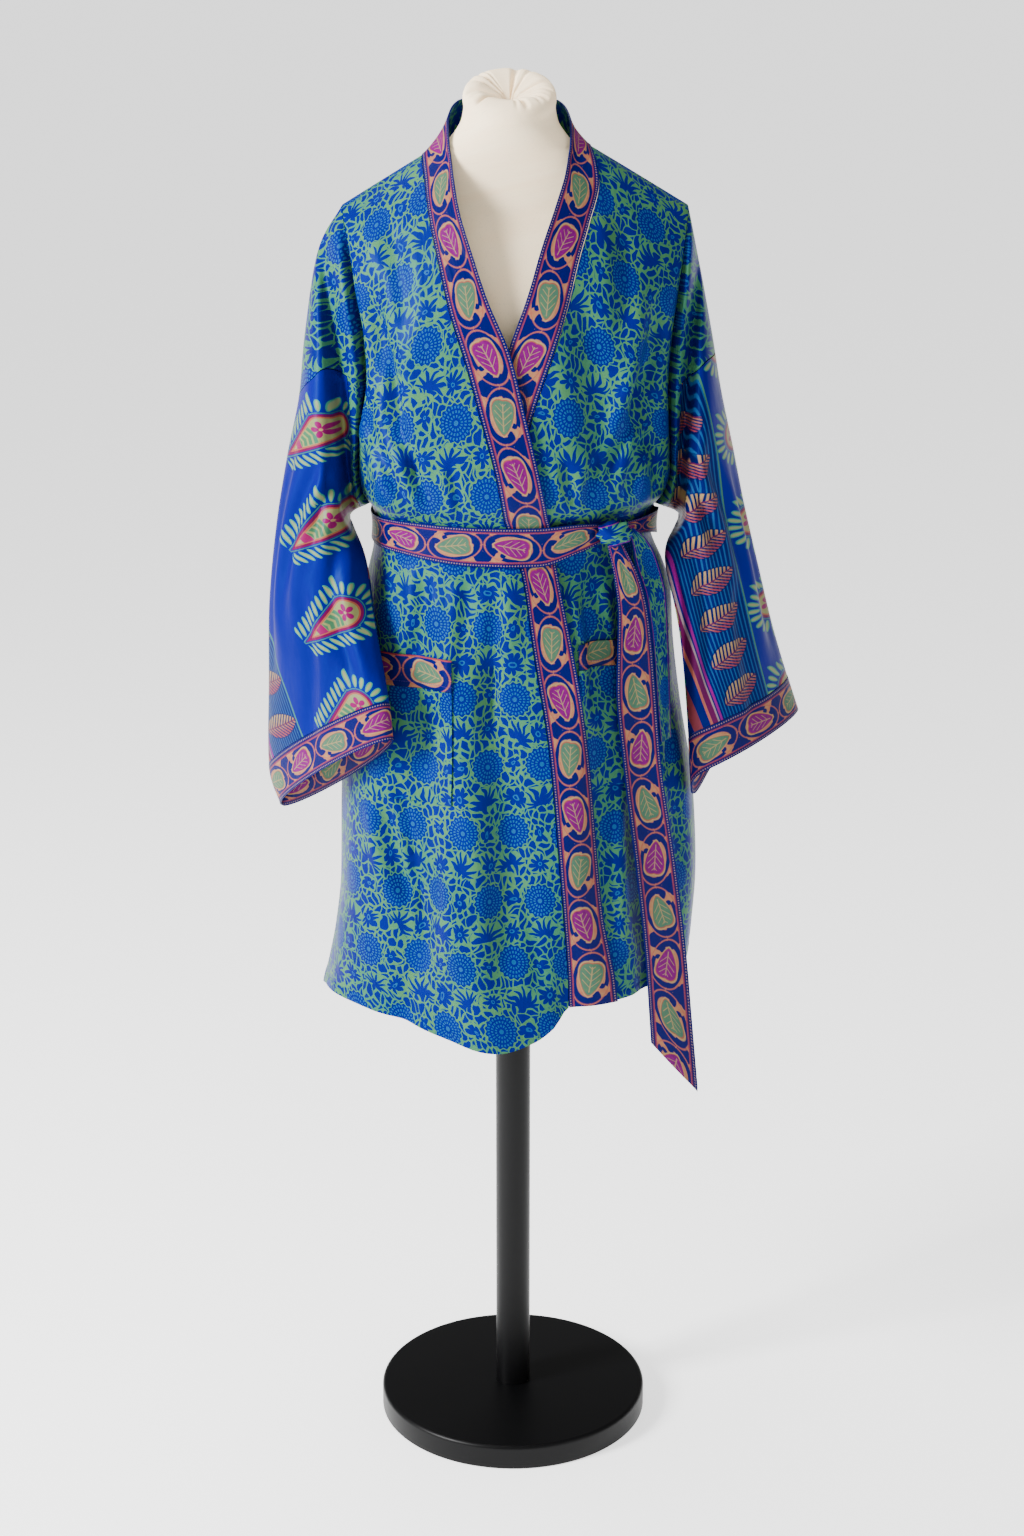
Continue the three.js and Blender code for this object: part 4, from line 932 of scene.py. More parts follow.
def body_flat(side, points, z, origin):
    """Cloth coordinates on the body: across from one column, and up a line that runs over the shoulder."""
    levels = np.linspace(HEM - 20, SHOULDER, 300)
    guide = torso(side, np.full(300, 0.45), levels)
    height = np.concatenate([[0], np.cumsum(np.linalg.norm(np.diff(guide, axis=0), axis=-1))])
    across = flat_coordinates(points, origin)[..., 0] + points[:, origin, 0][:, None]
    return np.stack([across, np.interp(z, levels, height)], -1)


print(len(CREASES["side"]), "creases")

# %% [markdown]
# ## Back and fronts
#
# The back is one piece from the shoulder to the hem. The wearer's right front laps over the left, so it
# stands off by the thickness of what is under it. Rows are closer near the hem and the belt.

# %% Back and fronts
FINE = 5.0
body_rows = np.concatenate([
    np.arange(HEM, HEM + 26, 2.0), np.arange(HEM + 28, 1100, FINE), np.arange(1100, UNDERARM, 4.0),
    (SHOULDER + UNDERARM) / 2 - (SHOULDER - UNDERARM) / 2 * np.cos(np.linspace(0, np.pi, 73)),
])
HEM_TURN, HEM_THICKER, HEM_DRAWN_IN = 14, 0.5, 0.7
NECK_CENTRE, NECK_HALF = -7.5, 93.5
BACK_NECK_FROM, BACK_NECK_DROP = 1369, 41


def hem_fold(shape):
    """The turned-up hem is a little thicker, and its stitches draw it in along one line."""
    above = body_rows - HEM
    fold = HEM_THICKER * (1 - smooth((above - HEM_TURN) / 3)) - HEM_DRAWN_IN * bump(above - HEM_TURN, 1.6)
    return np.broadcast_to(fold[:, None], shape)


def back_top(across):
    """The back's upper edge, with the neckline cut in it."""
    x = half_width(across, SHOULDER) * np.sin(np.pi / 2 * across)
    in_neck = np.maximum(0, 1 - ((x - NECK_CENTRE) / NECK_HALF) ** 2)
    return SHOULDER - BACK_NECK_DROP * in_neck**1.3


def make_back():
    neck = across_at(np.array([NECK_CENTRE - NECK_HALF, NECK_CENTRE + NECK_HALF]), SHOULDER)
    thirds = [np.linspace(a, b, 25)[:-1] for a, b in zip([-1, neck[0], neck[1]], [neck[0], neck[1], 1])]
    across, z = np.meshgrid(np.append(np.concatenate(thirds), 1.0), body_rows)
    share = (z - BACK_NECK_FROM) / (SHOULDER - BACK_NECK_FROM)
    top = BACK_NECK_FROM + (back_top(across) - BACK_NECK_FROM) * share
    z = np.where(share > 0, top, hem_follow(1, across, z))
    points, out = body_grid(1, across, z, hem_fold(z.shape))
    flat = body_flat(1, points, z, points.shape[1] // 2)
    piece = shell("back_panel", points, out, CLOTH, flat, [printed], "back")
    declare(piece, points)


def make_front(key):
    over = key == "right"
    side = SIGN[key]
    seam = read(BAND_EDGES, "over_seam" if over else "under_seam", body_rows)
    seam_at = across_at(seam, body_rows)[:, None]
    share = np.linspace(0, 1, 57)[None, :]
    across = side + (seam_at - side) * share
    z = hem_follow(-1, across, np.broadcast_to(body_rows[:, None], across.shape), not over)
    points, out = body_grid(-1, across, z, hem_fold(z.shape) + (lap(across, z) if over else 0))
    flat = body_flat(-1, points, z, points.shape[1] - 1)
    if not over:
        flat[..., 0] = 2 * points[:, -1, 0][:, None] - flat[..., 0]
    piece = shell(f"front_panel_{key}", points, out, CLOTH, flat, [printed], f"front_{key}")
    declare(piece, points)


make_back()
for key in ("right", "left"):
    make_front(key)

# %% [markdown]
# ## Neckband
#
# The band is a long straight strip of the sari's border, folded double and sewn to the fronts and round
# the back neck. On the chest it lies on the body's surface; from the shoulders it stands up round the neck.

# %% Neckband
BAND_CLOTH = 2.0
BAND_OFF = 0.6
BAND_PAST_SEAM = 0.9
# The band on top takes a little less of the creases than the cloth under it, and clears the pocket there
BAND_CREASED = {"right": 0.88, "left": 1.0}
COLLAR_FRONT = table("seam_z out_right out_left y z", (1470, 60, 67, -42, 1544), (1487, 64, 71, -18, 1570),
                     (1493, 65, 71, 4, 1588))
COLLAR_BACK = table("share out_right out_left y z", (0, 0.3, 0.3, 75, 1607), (0.27, 20, 20, 73, 1607),
                    (0.55, 37, 39, 66, 1606), (0.84, 54, 58, 48, 1603), (0.97, 62, 67, 25, 1597))


def collar_edge(key, rows, at, by):
    """The free edge of the band where it stands up round the neck."""
    out, y, z = (read(rows, column, at, by) for column in (f"out_{key}", "y", "z"))
    return np.stack([NECK_CENTRE + SIGN[key] * out, y, z], -1)


def make_neckband(key):
    over = key == "right"
    sign = SIGN[key]
    kind = "over" if over else "under"
    q = np.linspace(0, 1, 17)
    chest = body_rows[body_rows < 1460]
    seam_x = read(BAND_EDGES, f"{kind}_seam", chest) - sign * BAND_PAST_SEAM
    free_x = read(BAND_EDGES, f"{kind}_free", chest)
    across = across_at(seam_x[:, None] + (free_x - seam_x)[:, None] * q, chest[:, None])
    z = hem_follow(-1, across, np.broadcast_to(chest[:, None], across.shape), not over)
    raise_by = (lap(across, z) if over else 0 * z) + BAND_OFF
    lifted, _ = body_grid(-1, across, z, raise_by, BAND_CREASED[key])

    def ladder(seam, free, bend):
        rungs = seam[:, None] + (free - seam)[:, None] * q[None, :, None]
        rungs[..., 0] -= sign * bend[:, None] * 4 * np.sin(np.pi * q)
        return rungs

    rows = body_rows[body_rows > 1462]
    at = across_at(read(BAND_EDGES, f"{kind}_seam", rows) - sign * BAND_PAST_SEAM, rows)
    raise_by = (lap(at, rows) if over else 0 * at) + BAND_OFF
    seam = torso(-1, at, rows) + torso_out(-1, at, rows) * raise_by[:, None]
    standing = ladder(seam, collar_edge(key, COLLAR_FRONT, rows, "seam_z"), np.ones(len(rows)))
    share = np.linspace(0.985, 0, 34)
    x = NECK_CENTRE + sign * np.maximum(share * NECK_HALF, 0.3)
    at = across_at(x, SHOULDER)
    top = back_top(at)
    seam = torso(1, at, top) + torso_out(1, at, top) * BAND_OFF + np.array([0, 0, BAND_PAST_SEAM])
    behind = ladder(seam, collar_edge(key, COLLAR_BACK, share, "share"), share)
    points = np.concatenate([lifted, standing, behind])
    for _ in range(3):
        window = slice(len(lifted) - 6, len(lifted) + len(standing) + 6)
        body = points[window]
        body[1:-1, 1:] = (body[:-2, 1:] + body[1:-1, 1:] * 2 + body[2:, 1:]) / 4
    out = grid_out(points, sign=-sign)
    out[-1, :, 0] = 0
    out = unit(out)
    length = flat_coordinates(points)[:, :, 1].mean(1)
    flat = np.stack(np.broadcast_arrays(q[None, :] * BAND_WIDE, length[:, None]), -1)
    finishes, node = [border, printed], f"neckband_{key}"
    piece = shell(f"neckband_strip_{key}", points, out, BAND_CLOTH, flat, finishes, node)
    declare(piece, points)


for key in ("right", "left"):
    make_neckband(key)

# %% [markdown]
# ## Sleeves
#
# A sleeve is a tube that starts at the armhole and hangs, so its rings turn from upright to level. Its
# head is cut from the body print and the rest from the paisley end piece, with a border cuff. `sleeve`
# gives the tube's surface: `along` counts the rings and the angle starts at the outer edge.

# %% Sleeve surface
SLEEVES = {
    "right": table(
        "out_x out_y out_z in_x in_y in_z front back rise drop lobe",
        (217, 6, 1444, 183, -8, 1150, 66, 56, 0, 0, 0), (233, 4, 1356, 186, -20, 1142, 72, 52, 0, 0, 0),
        (241, 0, 1283, 185, -34, 1134, 68, 44, 4, 4, 0), (254, -4, 1219, 181, -54, 1116, 58, 34, 6, 6, 0),
        (266, -9, 1138, 171, -78, 1085, 48, 25, 8, 8, 0),
        (274, -14, 1045, 159, -104, 1050, 42, 18, 10, 11, 0),
        (280, -18, 951, 146, -129, 1002, 37, 15, 13, 15, 0),
        (284, -20, 849, 138, -147, 963, 34, 13, 16, 14, 0),
        (272, -21, 802, 134, -151, 920, 32, 14, 16, 13, 0),
    ),
    "left": table(
        "out_x out_y out_z in_x in_y in_z front back rise drop lobe",
        (209, 2, 1422, 187, -8, 1150, 68, 56, 0, 0, 0), (223, 0, 1352, 189, -20, 1142, 74, 52, 0, 0, 0),
        (234, 0, 1290, 189, -32, 1134, 70, 44, 4, 4, 0), (248, 4, 1226, 188, -42, 1118, 60, 34, 6, 6, 0),
        (261, 10, 1158, 188, -50, 1088, 52, 27, 8, 6, 0), (277, 16, 1087, 192, -58, 1040, 46, 22, 9, 4, 3),
        (296, 22, 1014, 197, -66, 975, 42, 20, 9, 2, 8), (318, 26, 948, 202, -72, 908, 38, 20, 9, 0, 18),
        (333, 28, 907, 206, -74, 858, 36, 22, 9, 0, 34),
    ),
}
LAST_RING = 9
HEAD_END = {"right": (3.0, 0.5), "left": (2.3, 0.5)}
LOBE_ANGLE, LOBE_WIDTH = 3.75, 0.6


def sleeve_ring(key, index, angle):
    sign = SIGN[key]
    cosine, sine = np.cos(angle), np.sin(angle)
    if index == 0:
        middle = (SHOULDER + UNDERARM) / 2
        z = middle + (SHOULDER - middle) * cosine
        half = read(TORSO, key, z) + SEAM
        return np.stack([sign * half, -(ARMHOLE_DEPTH + SEAM / 2) * sine, z], -1)
    r = row_of(SLEEVES[key], index - 1)
    outer = np.array([sign * r["out_x"], r["out_y"], r["out_z"]])
    inner = np.array([sign * r["in_x"], r["in_y"], r["in_z"]])
    reach = (outer - inner) / 2
    upright = abs(reach[2]) / np.linalg.norm(reach)
    facing = unit(np.array([reach[1], -reach[0], 0]) * sign)
    forward = unit(facing * (1 - upright) + np.array([0, -1, 0]) * upright)
    depth = np.where(sine > 0, r["front"], r["back"]) * sine
    tip = sine * np.where(sine > 0, r["rise"], r["drop"])
    tip = tip - r["lobe"] * bump(np.mod(angle, 2 * np.pi) - LOBE_ANGLE, LOBE_WIDTH)
    middle = (outer + inner) / 2
    up = tip[..., None] * np.array([0, 0, 1])
    return middle + cosine[..., None] * reach + depth[..., None] * forward + up


def sleeve(key, along, angle):
    """Points of the tube, on a smooth curve through the rings."""
    rings = np.stack([sleeve_ring(key, k, angle) for k in range(LAST_RING + 1)])
    i = np.clip(np.floor(along).astype(int), 0, LAST_RING - 1)
    t = (along - i)[..., None]
    pick = lambda k: np.take_along_axis(rings, np.clip(k, 0, LAST_RING)[None, ..., None], 0)[0]
    start, end = pick(i), pick(i + 1)
    first = np.where((i == 0)[..., None], end - start, (end - pick(i - 1)) / 2)
    last = np.where((i + 1 == LAST_RING)[..., None], end - start, (pick(i + 2) - start) / 2)
    rise = end - start
    points = start + first * t + (3 * rise - 2 * first - last) * t**2 + (first + last - 2 * rise) * t**3
    front = np.maximum(0, np.sin(angle)) ** 0.7
    push = 11 * bump(along - 0.27, 0.2) - 17 * bump(along - 0.78, 0.24)
    points[..., 1] -= push * front * smooth(along / 0.12)
    return points


def sleeve_out(key, along, angle):
    step = 0.03
    low, high = np.maximum(0, along - step), np.minimum(LAST_RING, along + step)
    down = sleeve(key, high, angle) - sleeve(key, low, angle)
    around = sleeve(key, along, angle + step) - sleeve(key, along, angle - step)
    return unit(np.cross(around, down) * SIGN[key])


def head_end(key, angle):
    outer, underarm = HEAD_END[key]
    return underarm + (outer - underarm) * np.maximum(0, np.cos(angle)) ** 0.9


# %% [markdown]
# ## Sleeve pieces
#
# The creases on a sleeve run from the armpit down and across it, and a few long soft ones hang from the
# elbow. They are rows of a table again, in ring numbers and angles. The side towards the body hangs nearer
# to it than the solid's, because the photograph shows little or no daylight there.

# %% Sleeve pieces
SLEEVE_CREASE_SCALE = 2.8
TOWARDS_BODY = {"right": 12, "left": 16}
PRINT_DEPTH = 0.5
CUFF_FROM = 8
SLEEVE_CREASES = {
    "right": table("along0 turn0 along1 turn1 width depth", (1.2, 2.0, 5.2, 1.75, 0.14, 2.6),
                   (2.4, 1.5, 6.6, 1.15, 0.16, 2.2), (3.4, 2.4, 8.0, 2.2, 0.16, 2.2),
                   (3.0, 0.8, 7.5, 0.65, 0.18, 1.6), (2.0, 4.6, 6.5, 4.3, 0.2, 2.2),
                   (3.0, 5.3, 7.6, 5.2, 0.2, 2.0), (5.4, 1.7, 8.6, 1.5, 0.12, 1.6)),
    "left": table("along0 turn0 along1 turn1 width depth", (1.2, 2.0, 5.4, 1.9, 0.14, 2.6),
                  (2.2, 1.4, 6.4, 1.35, 0.16, 2.0), (3.4, 2.5, 8.0, 2.45, 0.16, 2.4),
                  (3.4, 0.8, 7.8, 0.8, 0.18, 1.6), (2.0, 4.6, 6.5, 4.4, 0.2, 2.2),
                  (3.2, 5.4, 7.8, 5.3, 0.2, 2.0), (5.6, 1.6, 8.6, 1.7, 0.12, 1.4)),
}


def sleeve_crease(key, along, angle):
    moved = np.zeros(along.shape)
    rows = SLEEVE_CREASES[key]
    for i in range(len(rows["width"])):
        c = row_of(rows, i)
        t = (along - c["along0"]) / (c["along1"] - c["along0"])
        middle = c["turn0"] + (c["turn1"] - c["turn0"]) * t + 0.05 * np.sin(t * 6 + i)
        fade = smooth(t / 0.3) * smooth((1 - t) / 0.3)
        off = np.mod(angle, 2 * np.pi) - middle
        fold = -bump(off, c["width"]) + 0.6 * bump(off - c["width"] * 1.7, c["width"])
        moved += SLEEVE_CREASE_SCALE * c["depth"] * fade * fold
    return moved


def sleeve_grid(key, start, end, rows, raise_by):
    angle = np.linspace(-np.pi, np.pi, 96, endpoint=False)[None, :]
    share = np.linspace(0, 1, rows)[:, None]
    along = start(angle) + (end(angle) - start(angle)) * share
    angle = np.broadcast_to(angle, along.shape)
    out = sleeve_out(key, along, angle)
    out[..., 0] = np.where(along <= 0, 0, out[..., 0])
    out = unit(out)
    turned = np.mod(angle, 2 * np.pi) - np.pi
    inner_side = bump(along - 4.4, 1.5) * bump(turned, 0.8) * TOWARDS_BODY[key]
    moved = raise_by + sleeve_crease(key, along, angle) + inner_side
    return sleeve(key, along, angle) + out * moved[..., None], out, along, angle


def sleeve_flat(key, points, angle):
    """Cloth coordinates on a tube: away from its outer edge, and down from the shoulder. The print lies
    as it is seen from the front, so depth counts for less than width."""
    edge = sleeve(key, np.linspace(0, LAST_RING, 91), np.zeros(91))[::-1]
    closed = close_ring(points)
    height = closed[..., 2]
    away_x = closed[..., 0] - np.interp(height, edge[:, 2], edge[:, 0])
    away_y = closed[..., 1] - np.interp(height, edge[:, 2], edge[:, 1])
    turned = np.concatenate([angle, np.full((len(angle), 1), np.pi)], 1)
    across = np.hypot(away_x, PRINT_DEPTH * away_y) * np.sign(turned + 1e-6)
    return np.stack([across, SHOULDER - height], -1)


def cuff_flat(points):
    """Cloth coordinates on a cuff: round it from the outer edge, and across the border."""
    around = flat_coordinates(close_ring(points), points.shape[1] // 2)[..., 0]
    return np.stack([around, np.linspace(0, BAND_WIDE, len(points))[:, None] + 0 * around], -1)


def sleeve_finish(key):
    """The print is placed so that paisleys and border stand about where the photograph has them."""
    finish = Finish(f"sleeve_silk_{key}", **SILK)
    x, y = finish.cloth()
    if key == "right":
        colour = sleeve_print(finish, x - (y - 450) * 0.45, y, x - (36 + (y - 234) * 0.25), 1.0, -0.66)
    else:
        away = 42 - x
        colour = sleeve_print(finish, away, y, (away + 16).repeat(130.0) - 65, -1.0, -0.3)
    finish.put("Base Color", colour)
    silk(finish)
    return finish


def make_sleeve(key):
    seam = lambda angle: head_end(key, angle)
    gap = 0.02
    pieces = [
        ("sleeve_head", "sleeve_top", lambda a: 0 * a, seam, 46, printed, "printed_silk", 0.0, CLOTH),
        ("sleeve", "sleeve_panel", lambda a: seam(a) + gap, lambda a: CUFF_FROM - gap / 2 + 0 * a, 110,
         sleeve_finish(key), "sleeve_silk", 0.0, CLOTH),
        ("cuff", "cuff_band", lambda a: CUFF_FROM + 0 * a, lambda a: LAST_RING + 0 * a, 16, border_across,
         "border_silk", 0.5, BAND_CLOTH),
    ]
    for node, name, start, end, rows, finish, slot, raise_by, thick in pieces:
        points, out, along, angle = sleeve_grid(key, start, end, rows, raise_by)
        flat = cuff_flat(points) if node == "cuff" else sleeve_flat(key, points, angle)
        piece = shell(f"{name}_{key}", points, out, thick, flat, [finish], f"{node}_{key}", ring=True)
        declare(piece, close_ring(points))


for key in ("right", "left"):
    make_sleeve(key)

# %% [markdown]
# ## Belt
#
# The belt is a strip of border, wrapped once round the waist and tied at the wearer's left front. Where
# it goes into the knot it is squeezed narrow, and its two ends hang.

# %% Belt round the waist
BELT = table(
    "across front front_half back back_half",
    (-1, 1137, 15, 1137, 15), (-0.6, 1138, 18, 1139, 22), (-0.15, 1134, 22, 1140, 23),
    (0.1, 1134, 22, 1140, 23), (0.3, 1142, 16, 1140, 23), (0.48, 1147, 8, 1140, 22),
    (0.66, 1147, 9, 1140, 20), (1, 1140, 15, 1140, 15),
)
BELT_CLOTH = 1.8
belt_silk = border_finish("belt_silk", turned=True)


def reverse_finish():
    """The belt's other face: the body print, with the border's blue edge along both sides."""
    finish = Finish("belt_reverse", **SILK)
    x, y = finish.cloth()
    colour, blue = body_print(finish)
    edge = abs(x - BAND_WIDE / 2)
    lines = (PINK, (19.8 - edge).inside(0.5)), (DEEP_BLUE, (21.0 - edge).inside(0.5))
    finish.put("Base Color", finish.layers(colour, *lines))
    silk(finish, blue)
    return finish


belt_reverse = reverse_finish()


def make_belt():
    steps = 110
    front = np.linspace(-1, 1, steps, endpoint=False)
    sides = np.concatenate([np.full(steps, -1), np.full(steps, 1)])
    across = np.concatenate([front, -front])
    level = np.linspace(-1, 1, 13)[:, None]
    points = np.zeros((13, 2 * steps, 3))
    out = np.zeros((13, 2 * steps, 3))
    for side, name in ((-1, "front"), (1, "back")):
        here = sides == side
        at = np.broadcast_to(across[here], (13, steps))
        half = read(BELT, f"{name}_half", at, "across")
        z = read(BELT, name, at, "across") + level * half
        direction = torso_out(side, at, np.full(at.shape, float(WAIST)))
        direction[..., 2] = 0
        direction = unit(direction)
        ease = 1.6 + (lap(at) if side < 0 else 0) + BELT_CLOTH
        pinch = 1.1 * np.cos(level * np.pi * 2.5 + at * 4) * bump(at - 0.42, 0.2) * (side < 0)
        points[:, here] = torso(side, at, z) + direction * (ease + pinch)[..., None]
        out[:, here] = direction
    closed = close_ring(points)
    length = flat_coordinates(closed)[:, :, 0].mean(0)
    flat = np.stack(np.broadcast_arrays(length[None, :], (level + 1) / 2 * BAND_WIDE), -1)
    piece = shell("belt_strip", points, out, BELT_CLOTH, flat, [belt_silk, printed], "belt_waist", ring=True)
    declare(piece, closed)


make_belt()

# %% [markdown]
# ## Belt ends and knot
#
# The long end hangs border side out and is cut on a slant. The short end is turned over, so its flowered
# back shows. The knot is a tight lump: the band turned over itself with its back outside, and creased. It
# is about 3 mm longer and 2 mm taller each way than the solid's, so that its creases stand on it.

# %% Belt ends and knot
LONG_END = table("z left_x left_y right_x right_y", (480, 166, -121, 218, -106), (560, 160, -124, 210, -108),
                 (650, 153, -127, 201, -111), (757, 141, -130, 187, -113), (890, 124, -127, 167, -113),
                 (972, 116, -123, 160, -108), (1053, 117, -117, 151, -106), (1097, 112, -116, 140, -110),
                 (1134.4, 104, -112, 122, -110))
SHORT_END = table("z left_x left_y right_x right_y", (902, 168, -96, 181, -76), (950, 163, -97, 179, -77),
                  (1010, 158, -97, 176, -78), (1070, 149, -97, 172, -80), (1112, 136, -98, 161, -84),
                  (1134, 132, -101, 150, -90), (1150, 126.6, -107, 134.5, -95))
KNOT_CENTRE = (111.0, -111.3, 1147.0)
KNOT_HALF = (22, 10, 15)
KNOT_LEAN = 0.3


def make_end(name, rows, low, cut, node, finishes, curl):
    top = rows["z"][-1]
    q = np.linspace(0, 1, 15)[None, :]
    level = np.linspace(low, top, 120)[:, None]
    z = level + cut * (0.5 - q) * (1 - smooth((level - low) / (2.5 * cut + 1)))
    left_x, left_y, right_x, right_y = (read(rows, c, z) for c in ("left_x", "left_y", "right_x", "right_y"))
    middle_crease = 0.8 * bump(q - 0.5, 0.1) * smooth((z - low - 300) / 200)
    wave = curl * np.sin(np.pi * q) * np.cos((z - low) / 95.0) - middle_crease
    points = np.stack([left_x + (right_x - left_x) * q, left_y + (right_y - left_y) * q - wave, z], -1)
    out = grid_out(points)
    length = flat_coordinates(points)[:, :, 1].mean(1)
    flat = np.stack(np.broadcast_arrays(q * BAND_WIDE, (top - low) - length[:, None]), -1)
    piece = shell(name, points, out, CLOTH, flat, finishes, node)
    declare(piece, points)


def make_knot():
    angle = np.linspace(0, 2 * np.pi, 96, endpoint=False)[None, :]
    tilt = np.linspace(0.05, np.pi - 0.05, 60)[:, None]
    x = np.cos(tilt) + 0 * angle
    y, z = -np.sin(tilt) * np.cos(angle), np.sin(tilt) * np.sin(angle)
    over = bump(x * 0.8 + z * 0.55, 0.5)
    turned_under = 0.08 * np.cos((z * 0.8 - x * 0.5) * 9) * (1 - over)
    groove = turned_under + 0.06 * np.cos((x * 0.8 + z * 0.6) * 11) * over
    size = 0.9 + 0.17 * over - 0.13 * bump(x + 0.8, 0.25) + groove
    long, deep, tall = (half * size for half in KNOT_HALF)
    x, y, z = x * long, y * deep, z * tall
    cosine, sine = math.cos(KNOT_LEAN), math.sin(KNOT_LEAN)
    local = np.stack([x * cosine - z * sine, y, x * sine + z * cosine], -1)
    on_cloth = lambda at: np.stack([BAND_WIDE / 2 + 1.7 * at[..., 2] - 0.5 * at[..., 0], at[..., 0]], -1)
    ends = on_cloth(local[[0, -1]].mean(1))
    points = local + np.array(KNOT_CENTRE)
    capped("belt_tie", points, on_cloth(close_ring(local)), ends, belt_reverse, "belt_knot")


make_knot()
make_end("belt_tail_long", LONG_END, 508, 70, "belt_end_long", [border, printed], 1.6)
make_end("belt_tail_short", SHORT_END, 902, 0, "belt_end_short", [belt_reverse, border], 2.2)

# %% [markdown]
# ## Pockets
#
# Each front has a patch pocket at hip height, with a border band along its mouth. The patch is of the body
# print, so only its edges and its shadow tell it from the front.

# %% Pockets
POCKETS = {
    "right": {"near": -66, "far": -166, "top": 1008, "band_low": 972, "low": 842},
    "left": {"near": 71, "far": 176, "top": 1024, "band_low": 996, "low": 860},
}
POCKET_OFF = 0.8
pocket_border = border_finish("pocket_border_silk", turned=True, middle=17.0)


def make_pocket(key):
    p = POCKETS[key]
    for name, low, high, node, finish, slot in (
        ("pocket_patch", p["low"], p["band_low"] - 0.5, "pocket", printed, "printed_silk"),
        ("pocket_mouth", p["band_low"], p["top"], "pocket_band", pocket_border, "border_silk"),
    ):
        rows = np.linspace(low, high, 40 if node == "pocket" else 12)[:, None]
        x = np.linspace(p["near"], p["far"], 33)[None, :]
        z = np.broadcast_to(rows, (len(rows), 33))
        across = across_at(np.broadcast_to(x, z.shape), z)
        raise_by = (lap(across) if key == "right" else 0 * across) + POCKET_OFF + CLOTH
        points, out = body_grid(-1, across, z, raise_by)
        flat = flat_coordinates(points)
        if node == "pocket":
            flat = flat + np.array([p["near"], 0])
        piece = shell(f"{name}_{key}", points, out, CLOTH, flat, [finish], f"{node}_{key}")
        declare(piece, points)


for key in ("right", "left"):
    make_pocket(key)

# %% [markdown]
# ## Dress form
#
# A padded torso covered in calico, smooth and without arms. The neck is closed by a disc of cloth that is
# gathered to its centre, so radial folds run into a dimple. It leans forward as a neck does. The sections
# are the solid's up to the neck; the cap is up to 7 mm wider and its dimple 13 mm deeper, to hold the folds.

# %% Dress form
FORM = [
    (800, 148, 104, 100, 0), (812, 158, 111, 108, 0), (870, 168, 118, 114, 0), (950, 162, 113, 108, 0),
    (1030, 146, 103, 95, 0), (1090, 135, 94, 85, 0), (1138, 131, 91, 82, 0), (1190, 136, 97, 86, 0),
    (1250, 144, 108, 92, 0), (1310, 149, 113, 95, 0), (1370, 154, 106, 93, 0), (1420, 162, 91, 84, 0),
    (1455, 169, 70, 67, 0), (1478, 171, 52, 52, 0), (1494, 166, 44, 46, 0), (1515, 142, 42, 47, 0),
    (1534, 112, 42, 48, 0), (1548, 88, 43, 49, 0), (1560, 72, 44, 49, 0), (1572, 61, 46, 50, 0),
    (1585, 53, 47, 50, 0.1), (1599, 50.5, 48, 49, 0.32), (1609, 51.5, 48.5, 49, 0.4),
    (1618, 48, 45, 46, 0.42), (1621.5, 37, 34, 35, 0.42), (1611, 11, 10, 11, 0.42),
]
FORM_DIMPLE = 1596.0
NECK_SHIFT = -4.0
NECK_SEAM = 1556.0


def calico_finish():
    finish = Finish("calico", Specular_IOR_Level=0.2)
    x, y = finish.cloth()
    place = finish.vector(x, y)
    tone = finish.noise(place, 0.02, 3.0)
    colour = finish.over(linear(250, 222, 182), linear(255, 236, 202), tone)
    fleck = finish.noise(finish.vector(x * 2.0, y * 0.6), 0.5, 2.0)
    colour = finish.over(colour, linear(206, 188, 160), (fleck > 0.68) * 0.35)
    finish.put("Base Color", colour)
    finish.put("Roughness", tone * 0.1 + 0.8)
    weave = (x * 7.0).sin() * (y * 7.0).sin()
    height = weave * 0.05 + finish.noise(place, 0.05, 4.0) * 0.5
    finish.relief(0.35, 0.001, height)
    return finish


calico = calico_finish()


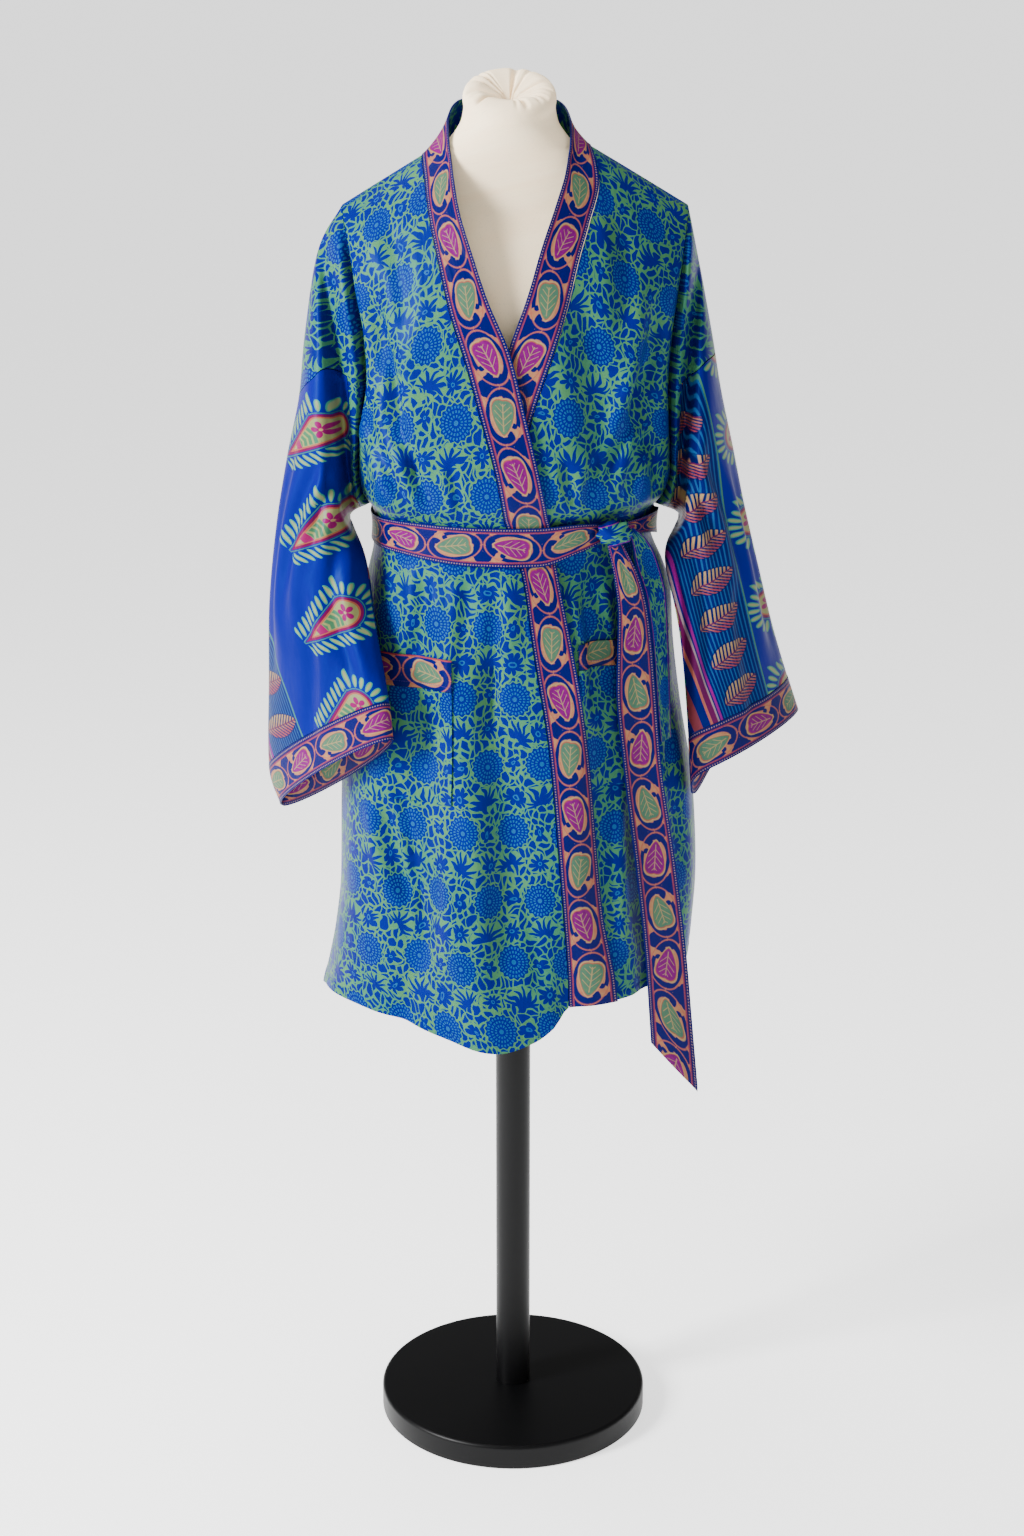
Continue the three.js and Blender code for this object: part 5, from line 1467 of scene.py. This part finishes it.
def make_form():
    rows = np.array(FORM, float)
    marks = np.linspace(0, len(rows) - 1, 230)
    read_by_row = lambda values: read({"z": np.arange(len(rows), dtype=float), "v": values}, "v", marks)
    z, half, front, back, tilt = (read_by_row(column)[:, None] for column in rows.T)
    angle = np.linspace(0, 2 * np.pi, 160, endpoint=False)[None, :]
    y = np.sin(angle) * np.where(np.sin(angle) < 0, front, back)
    shift = NECK_SHIFT * smooth((z - 1470) / 80)
    cap = smooth((marks - 20.8) / 2.4)[:, None]
    turned = angle + 0.28 * np.sin(angle * 2 + 0.6) + 0.12 * np.sin(angle * 5)
    groove = -(np.maximum(np.cos(turned * 9), 0) ** 3) - 0.5 * np.maximum(np.cos(turned * 16 + 2), 0) ** 4
    inward = smooth((marks - 22.4) / 1.8)[:, None]
    height = z + tilt * y + cap * groove * (0.2 + 4.6 * inward)
    neck_seam = -1.3 * bump(z - NECK_SEAM, 1.8)
    points = np.stack([shift + (half + neck_seam) * np.cos(angle), y, height], -1)
    flat = flat_coordinates(close_ring(points))
    ends = [(0, 0, FORM[0][0]), (NECK_SHIFT, 0, FORM_DIMPLE)]
    end_flat = np.zeros(2), flat[-1, :-1]
    capped("torso_form", points, flat, end_flat, calico, "dress_form", ends=ends)


make_form()

# %% [markdown]
# ## Stand
#
# A round steel base and a pole in satin black paint. Both are turned shapes, and the base has a rounded rim.

# %% Stand
def paint_finish():
    finish = Finish("black_metal", Metallic=0.0, Specular_IOR_Level=0.14)
    place = finish.node("ShaderNodeTexCoord", None, None, "Object")
    grain = finish.node("ShaderNodeTexNoise", None, {"Vector": place, "Scale": 900.0, "Detail": 2.0})
    smear = finish.node("ShaderNodeTexNoise", None, {"Vector": place, "Scale": 7.0, "Detail": 3.0})
    finish.put("Base Color", finish.over(linear(4, 4, 5), linear(9, 9, 10), smear))
    finish.put("Roughness", smear * 0.12 + 0.34)
    finish.relief(0.12, 0.0003, grain)
    return finish


black_metal = paint_finish()


def make_turned(name, profile, node, sides=160):
    angle = np.linspace(0, 2 * np.pi, sides, endpoint=False)[None, :]
    radius, z = np.array(profile, float).T[:, :, None]
    points = np.stack([radius * np.cos(angle), radius * np.sin(angle), z + 0 * angle], -1)
    ends = [(0, 0, profile[0][1]), (0, 0, profile[-1][1])]
    capped(name, points, None, None, black_metal, node, 40, ends)


BASE_RADIUS, RIM_RADIUS, BASE_TOP = 165, 5, 31
turns = np.linspace(0, math.pi / 2, 9)
rim_out, rim_up = BASE_RADIUS - RIM_RADIUS, BASE_TOP - RIM_RADIUS
rim = [(rim_out + RIM_RADIUS * math.cos(t), rim_up + RIM_RADIUS * math.sin(t)) for t in turns]
make_turned("round_base", [(163.5, 0), (BASE_RADIUS, 1.5), *rim, (23, BASE_TOP)], "stand_base")
make_turned("pole", [(21, 31.3), (21, 799.7)], "stand_pole", 96)

# %% [markdown]
# ## Floor finish
#
# The floor is matt white and glows a little, as a lit studio sweep does, so only the soft shadow of the
# base shows on it.

# %% Floor finish
white = Finish("white_floor", Roughness=0.9, Specular_IOR_Level=0.1, Emission_Strength=1.5)
white.shader.inputs["Emission Color"].default_value = WHITE
white.shader.inputs["Base Color"].default_value = (0.9, 0.9, 0.9, 1.0)
floor_mesh.materials.append(white.material)
